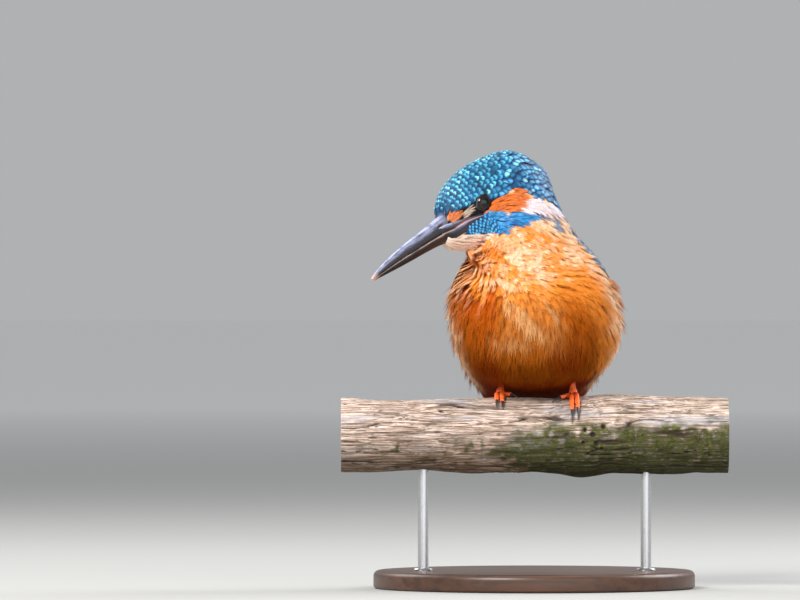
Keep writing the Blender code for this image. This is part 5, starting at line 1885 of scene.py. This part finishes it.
class KINGFISHER_OT_branch(PieceOperator, bpy.types.Operator):
    """The cut branch: cracked, weathered wood with moss, and plain sawn ends"""

    bl_idname = "kingfisher.branch"
    bl_label = "Branch"

    # Small round holes in the side: place along the branch, angle round it, and radius.
    HOLES = (
        (17.0, 171.0, 0.75), (19.6, 178.0, 1.0), (23.2, 166.0, 0.8),
        (20.9, 192.0, 0.9), (16.4, 190.0, 0.7), (22.6, 200.0, 0.6),
    )

    def execute(self, context):
        wood = context.scene.kingfisher_branch
        rows, columns, radius = 400, 224, 14
        x = np.linspace(-PERCH_LENGTH / 2, PERCH_LENGTH / 2, rows)[:, None]
        angle = np.linspace(0, 360, columns, endpoint=False)[None, :]
        x, angle = np.broadcast_arrays(x, angle)
        turn = np.radians(angle)
        wrap = np.stack((x, radius * np.cos(turn), radius * np.sin(turn)), axis=-1)
        relief, crack = self.relief(x, angle, wrap, wood.relief)
        points = branch_outline(x, angle, relief)
        # How far underneath each point lies, for the painted shade on the underside.
        under = smooth(150, 228, angle) * (1 - smooth(300, 345, angle))
        tint = np.stack((crack, self.moss(x, angle, wrap), under), axis=-1)
        faces = [grid_faces(rows, columns, closed=True)]
        mesh_piece("branch_bark", points, faces, self.bark(wood), "bark", ("perch",), tint, flip=True)
        for side, word, rim in ((-1, "right", points[0]), (1, "left", points[-1])):
            self.end(side, word, rim, wood)
        return {"FINISHED"}

    def relief(self, x, angle, wrap, depth):
        """Height of the wood over its outline, and how deep in a crack each point is. Cracks are where long
        thin noise, stretched along the grain, comes near zero. wrap is each point's place on a plain
        cylinder, where the noise is read."""
        wander = 1.2 * noise(wrap * (0.08, 0.3, 0.3), 1.0, 7)[..., None] * (0, 1, 1)
        grain = noise((wrap + wander) * (0.07, 1.0, 1.0), 1.5, 1)
        fine = noise((wrap + wander) * (0.16, 2.2, 2.2), 1.3, 2)
        crack = 1 - smooth(0.0, 0.16, np.abs(grain))
        crack = crack * smooth(-0.15, 0.35, noise(wrap * (0.12, 0.5, 0.5), 1.5, 4))
        thin = (1 - smooth(0.0, 0.2, np.abs(fine))) * 0.5
        thin = thin * smooth(-0.2, 0.4, noise(wrap * (0.2, 0.6, 0.6), 1.2, 6))
        crack = np.maximum(crack, thin)
        for place, around, radius in self.HOLES:
            across = PERCH_RADIUS * np.radians(angle - around)
            crack = np.maximum(crack, 1.3 * (1 - smooth(0.55, 1.15, np.hypot(x - place, across) / radius)))
        lumps = 0.18 * noise(wrap, 5.0, 8) + 0.12 * fine + 0.1 * grain
        return lumps - depth * crack - 0.15, np.clip(crack, 0, 1)

    @staticmethod
    def moss(x, angle, wrap):
        """Where moss and lichen grow: the lower face, most of all to the bird's left, in broken patches."""
        low = smooth(140, 192, angle) * (1 - smooth(300, 345, angle))
        left = smooth(-22, 10, x)
        reach = 0.1 + 1.1 * left + 0.5 * noise(wrap * (0.5, 1, 1), 6.0, 9) + 0.5 * noise(wrap, 1.8, 10)
        specks = 0.3 * left * smooth(0.0, 0.5, noise(wrap, 2.2, 11))
        return smooth(0.3, 0.75, low * np.clip(reach, 0, 1.4)) + specks

    @staticmethod
    def bark(wood):
        """Weathered wood: pale, with long streaks and dark threads of the grain. The stored colour's red says
        where it is cracked, its green where moss grows and its blue how far it lies underneath, in shade."""
        made = Nodes("Weathered wood")
        stored = made.parts(made.tint())
        streak = made.noise(made.place(scale=(0.045, 1.3, 1.3)), 1.6, 8.0, 0.7, 0.5)
        broad = made.noise(made.place(scale=(0.03, 0.12, 0.12)), 1.4, 3.0)
        fine = made.noise(made.place(scale=(0.25, 3.0, 3.0)), 1.5, 5.0, 0.7)
        threads = made.noise(made.place(scale=(0.05, 3.6, 3.6)), 1.7, 6.0, 0.75)
        lichen = made.noise(made.place(), 0.6, 6.0, 0.72)
        pale, tan, moss = np.array(wood.pale), np.array(wood.tan), np.array(wood.moss)
        sunlit = np.clip(pale * 1.22, 0, 1)
        shade = made.ramp(streak, (0.38, tan * 0.3), (0.46, tan * 0.8), (0.56, pale), (0.7, sunlit))
        shade = made.blend(made.map(broad, 0.52, 0.66, 0.0, 0.5), shade, (0.42, 0.44, 0.5))
        shade = made.blend(made.map(fine, 0.52, 0.68, 0.0, 0.75), shade, tan * 0.6)
        # The dark threads are fainter on top than underneath: painted light and shade.
        low = made.map(stored["Blue"], 0.0, 0.4, 0.4, 1.0)
        thin = made.math("MULTIPLY", made.map(threads, 0.38, 0.47, 0.85, 0.0), low)
        shade = made.blend(thin, shade, tan * 0.18)
        green = made.ramp(lichen, (0.38, moss * 0.12), (0.52, moss * 0.8), (0.68, srgb(116, 114, 62)))
        grown = made.math("MULTIPLY", stored["Green"], made.map(lichen, 0.3, 0.55, 0.35, 1.0))
        shade = made.blend(grown, shade, green)
        # Painted shade: the underside is darkened to dark tan, and to dark moss where moss grows.
        under = made.math("MULTIPLY", stored["Blue"], made.map(streak, 0.4, 0.62, 1.0, 0.55))
        deep = made.blend(stored["Green"], tan * (0.28, 0.24, 0.16), moss * 0.3)
        shade = made.blend(under, shade, deep)
        # The bottoms of the cracks and the holes are coloured near black: painted shade in the recesses.
        shade = made.blend(stored["Red"], shade, tuple(wood.crack))
        relief = made.bump(made.blend(0.5, streak, fine), 0.8, 0.35)
        return made.surface(Base_Color=shade, Roughness=0.85, Specular_IOR_Level=0.25, Normal=relief)

    @staticmethod
    def end(side, word, rim, wood):
        """A sawn end: rings from the rim to the middle, very slightly domed by the saw."""
        steps = np.linspace(1, 0.02, 26)[:, None, None]
        centre = rim.mean(axis=0)
        points = centre + (rim[None] - centre) * steps
        points[..., 0] += side * 0.12 * (1 - steps[..., 0] ** 2)
        made = Nodes(f"Sawn end {word}")
        away = made.away(centre + BIRD_PLACE)
        wander = made.math("MULTIPLY_ADD", made.noise(made.place(), 0.15, 3.0), 3.0, away)
        ring = made.math("SINE", made.math("MULTIPLY", wander, 6.5))
        saw = made.noise(made.place(scale=(1, 0.4, 8)), 1.0, 4.0)
        sawn = np.array(wood.sawn)
        shade = made.blend(made.map(ring, -1, 1), sawn * 0.62, sawn)
        shade = made.blend(made.map(away, 10.8, 13.0), shade, np.array(wood.tan) * 0.5)
        finish = made.surface(Base_Color=shade, Roughness=0.8, Normal=made.bump(saw, 0.4, 0.15))
        rings, _, middle = ring_faces(*points.shape[:2])
        mesh_piece(f"branch_end_{word}", points, [rings, middle], finish, "bark", flip=side < 0)


class KINGFISHER_OT_stand(PieceOperator, bpy.types.Operator):
    """The turned wooden base, its two steel rods and their collars"""

    bl_idname = "kingfisher.stand"
    bl_label = "Stand"

    def execute(self, context):
        low, high = (np.array(corner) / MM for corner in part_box("stand_base"))
        radius, thick = (high[0] - low[0]) / 2, high[2] - low[2]
        sweep = np.linspace(0.2, 1.57, 6)
        foot = [(radius - 0.8 + 0.8 * math.sin(a), 0.8 - 0.8 * math.cos(a)) for a in sweep]
        sweep = np.linspace(0, 1.57, 10)
        brow = [(radius - 2.0 + 2.0 * math.cos(a), thick - 2.0 + 2.0 * math.sin(a)) for a in sweep]
        profile = [(0.4, 0.0), (radius - 1.2, 0.0), *foot, *brow, (radius - 4.5, thick), (0.4, thick)]
        walnut, steel = self.walnut(context.scene.kingfisher_branch), self.steel()
        self.lathe("stand_base_turned", profile, (0, 0), 160, walnut, "base_wood", ("stand_base",))
        for word in ("left", "right"):
            node = f"stand_rod_{word}"
            low, high = (np.array(corner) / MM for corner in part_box(node))
            middle, wide = (low[:2] + high[:2]) / 2, (high[0] - low[0]) / 2
            profile = [(0.2, low[2]), (wide, low[2]), (wide, high[2]), (0.2, high[2])]
            self.lathe(f"stand_rod_steel_{word}", profile, middle, 48, steel, "rod_steel", (node,))
            collar = ((wide, -0.2), (3.3, -0.2), (3.4, 0.5), (3.0, 0.9), (wide, 1.0))
            profile = [(across, thick + up) for across, up in collar]
            self.lathe(f"stand_collar_{word}", profile, middle, 48, steel, "rod_steel", ())
        return {"FINISHED"}

    @staticmethod
    def lathe(name, profile, centre, count, finish, slot, replaces):
        """A profile of radius and height turned about an upright axis."""
        turn = circle(count)
        radius, height = (np.array(part)[:, None] for part in zip(*profile))
        x, y = centre[0] + radius * np.cos(turn), centre[1] + radius * np.sin(turn)
        points = np.stack(np.broadcast_arrays(x, y, height), axis=-1) - BIRD_PLACE
        piece = mesh_piece(name, points, ring_faces(*x.shape), finish, slot, replaces)
        piece.data.set_sharp_from_angle(angle=math.radians(35))

    @staticmethod
    def walnut(wood):
        """Oiled wood: long bent bands of grain with fine pores."""
        made = Nodes("Walnut")
        bend = made.noise(made.place(scale=(0.012, 0.03, 0.03)), 1.0, 2.0)
        grain = made.noise(made.place(scale=(0.012, 0.34, 0.34)), 1.0, 7.0, 0.6, 0.6)
        band = made.map(made.math("MULTIPLY_ADD", bend, 0.6, grain), 0.6, 1.0)
        pores = made.noise(made.place(scale=(0.15, 4.0, 4.0)), 1.4, 5.0, 0.7)
        walnut = np.array(wood.walnut)
        shade = made.blend(band, walnut * 0.6, walnut * 1.35)
        shade = made.blend(made.map(pores, 0.55, 0.75, 0.0, 0.5), shade, walnut * 0.3)
        return made.surface(Base_Color=shade, Roughness=0.38, Normal=made.bump(pores, 0.25, 0.08))

    @staticmethod
    def steel():
        """Brushed steel with a soft shine."""
        made = Nodes("Satin steel")
        grain = made.noise(made.place(scale=(1.0, 1.0, 0.05)), 9.0, 3.0)
        rough, relief = made.map(grain, 0.3, 0.7, 0.24, 0.4), made.bump(grain, 0.15, 0.02)
        return made.surface(Base_Color=(0.58, 0.58, 0.6), Metallic=1.0, Roughness=rough, Normal=relief)


class KINGFISHER_OT_stage(PieceOperator, bpy.types.Operator):
    """Plain floor, soft light and the camera"""

    bl_idname = "kingfisher.stage"
    bl_label = "Stage"

    # Each soft light: name, place, size, power and colour. All face the bird's middle.
    LIGHTS = (
        ("Key", (-0.55, -0.97, 0.72), 0.5, 21.0, (1.0, 0.98, 0.95)),
        ("Fill", (0.5, -1.2, 0.2), 1.4, 8.5, (0.96, 0.98, 1.0)),
        ("Top", (0.1, 0.25, 1.1), 0.8, 3.5, (1.0, 1.0, 1.0)),
        ("Left edge", (-0.75, 0.45, 0.65), 0.6, 5.0, (1.0, 1.0, 1.0)),
        ("Right edge", (0.8, 0.4, 0.6), 0.6, 9.0, (1.0, 1.0, 1.0)),
    )
    AIM = (0.0, 0.0, 0.1)

    def execute(self, context):
        scene = context.scene
        self.floor(scene)
        self.lights(scene)
        self.camera(scene)
        scene.view_settings.view_transform = "Standard"
        return {"FINISHED"}

    @staticmethod
    def floor(scene):
        """A round floor under the stand, as rings of points about its middle, that is painted paler with
        distance: painted light where the lamps light it less.
        """
        radius, turn, under = np.array((0.001, 0.5, 2.0, 8.0, 40.0))[:, None], circle(64), -0.0002
        points = np.stack(np.broadcast_arrays(radius * np.cos(turn), radius * np.sin(turn), under), axis=-1)
        mesh = bpy.data.meshes.new("floor")
        faces = grid_faces(radius.size, turn.size, closed=True)
        mesh.from_pydata(points.reshape(-1, 3).tolist(), [], faces.tolist())
        made = Nodes("Floor")
        near = tuple(scene.kingfisher_stage.floor)
        # Painted light: the floor pales to near white far off, where the lamps light it less.
        shade = made.blend(made.map(made.away(), 700.0, 5000.0), near, (0.97, 0.97, 0.97))
        mesh.materials.append(made.surface(Base_Color=shade, Roughness=0.9, Specular_IOR_Level=0.1))
        floor = bpy.data.objects.new("floor", mesh)
        scene.collection.objects.link(floor)

    def lights(self, scene):
        """Soft round lamps, and an even dim light from all round."""
        for name, place, size, power, shade in self.LIGHTS:
            light = bpy.data.lights.new(name, "AREA")
            light.shape, light.size, light.energy, light.color = "DISK", size, power, shade
            lamp = bpy.data.objects.new(name, light)
            lamp.location = place
            lamp.rotation_euler = (Vector(place) - Vector(self.AIM)).to_track_quat("Z", "Y").to_euler()
            scene.collection.objects.link(lamp)
        scene.world = bpy.data.worlds.new("Studio")
        scene.world.use_nodes = True
        sky = scene.world.node_tree.nodes["Background"].inputs
        sky["Color"].default_value = (0.86, 0.88, 0.9, 1.0)
        sky["Strength"].default_value = 0.5

    @staticmethod
    def camera(scene):
        """A long lens level with the bird's breast, in front of it and to its right."""
        stage = scene.kingfisher_stage
        data = bpy.data.cameras.new("Camera")
        data.lens, data.sensor_width = stage.lens, 36.0
        data.clip_start, data.clip_end = 0.1, 200.0
        camera = bpy.data.objects.new("Camera", data)
        away = stage.view_width * stage.lens / data.sensor_width
        camera.location = (stage.view_across, BIRD_PLACE[1] * MM - away, stage.view_height)
        camera.rotation_euler = (math.radians(90), 0, 0)
        scene.collection.objects.link(camera)
        scene.camera = camera


class KINGFISHER_PT_panel(bpy.types.Panel):
    """Lists the pieces in the order in which they are made"""

    bl_idname = "KINGFISHER_PT_panel"
    bl_label = "Kingfisher"
    bl_space_type = "VIEW_3D"
    bl_region_type = "UI"
    bl_category = "Kingfisher"

    def draw(self, context):
        for operator in OPERATORS:
            self.layout.operator(operator.bl_idname)
        for name in SETTINGS:
            group = getattr(context.scene, name)
            box = self.layout.box()
            for key in type(group).__annotations__:
                box.prop(group, key)


SETTINGS = {
    "kingfisher_plumage": PlumageSettings,
    "kingfisher_bare": BareSettings,
    "kingfisher_branch": BranchSettings,
    "kingfisher_stage": StageSettings,
}
OPERATORS = (
    KINGFISHER_OT_stage,
    KINGFISHER_OT_skin,
    KINGFISHER_OT_crown,
    KINGFISHER_OT_face,
    KINGFISHER_OT_breast,
    KINGFISHER_OT_back,
    KINGFISHER_OT_wings,
    KINGFISHER_OT_tail,
    KINGFISHER_OT_eyes,
    KINGFISHER_OT_bill,
    KINGFISHER_OT_feet,
    KINGFISHER_OT_branch,
    KINGFISHER_OT_stand,
)


def register():
    for group in (*SETTINGS.values(), *OPERATORS, KINGFISHER_PT_panel):
        bpy.utils.register_class(group)
    for name, group in SETTINGS.items():
        setattr(bpy.types.Scene, name, PointerProperty(type=group))


def unregister():
    for name in SETTINGS:
        delattr(bpy.types.Scene, name)
    for group in reversed((*SETTINGS.values(), *OPERATORS, KINGFISHER_PT_panel)):
        bpy.utils.unregister_class(group)


def main():
    register()
    for operator in OPERATORS:
        group, name = operator.bl_idname.split(".")
        getattr(getattr(bpy.ops, group), name)()


if __name__ == "__main__":
    main()
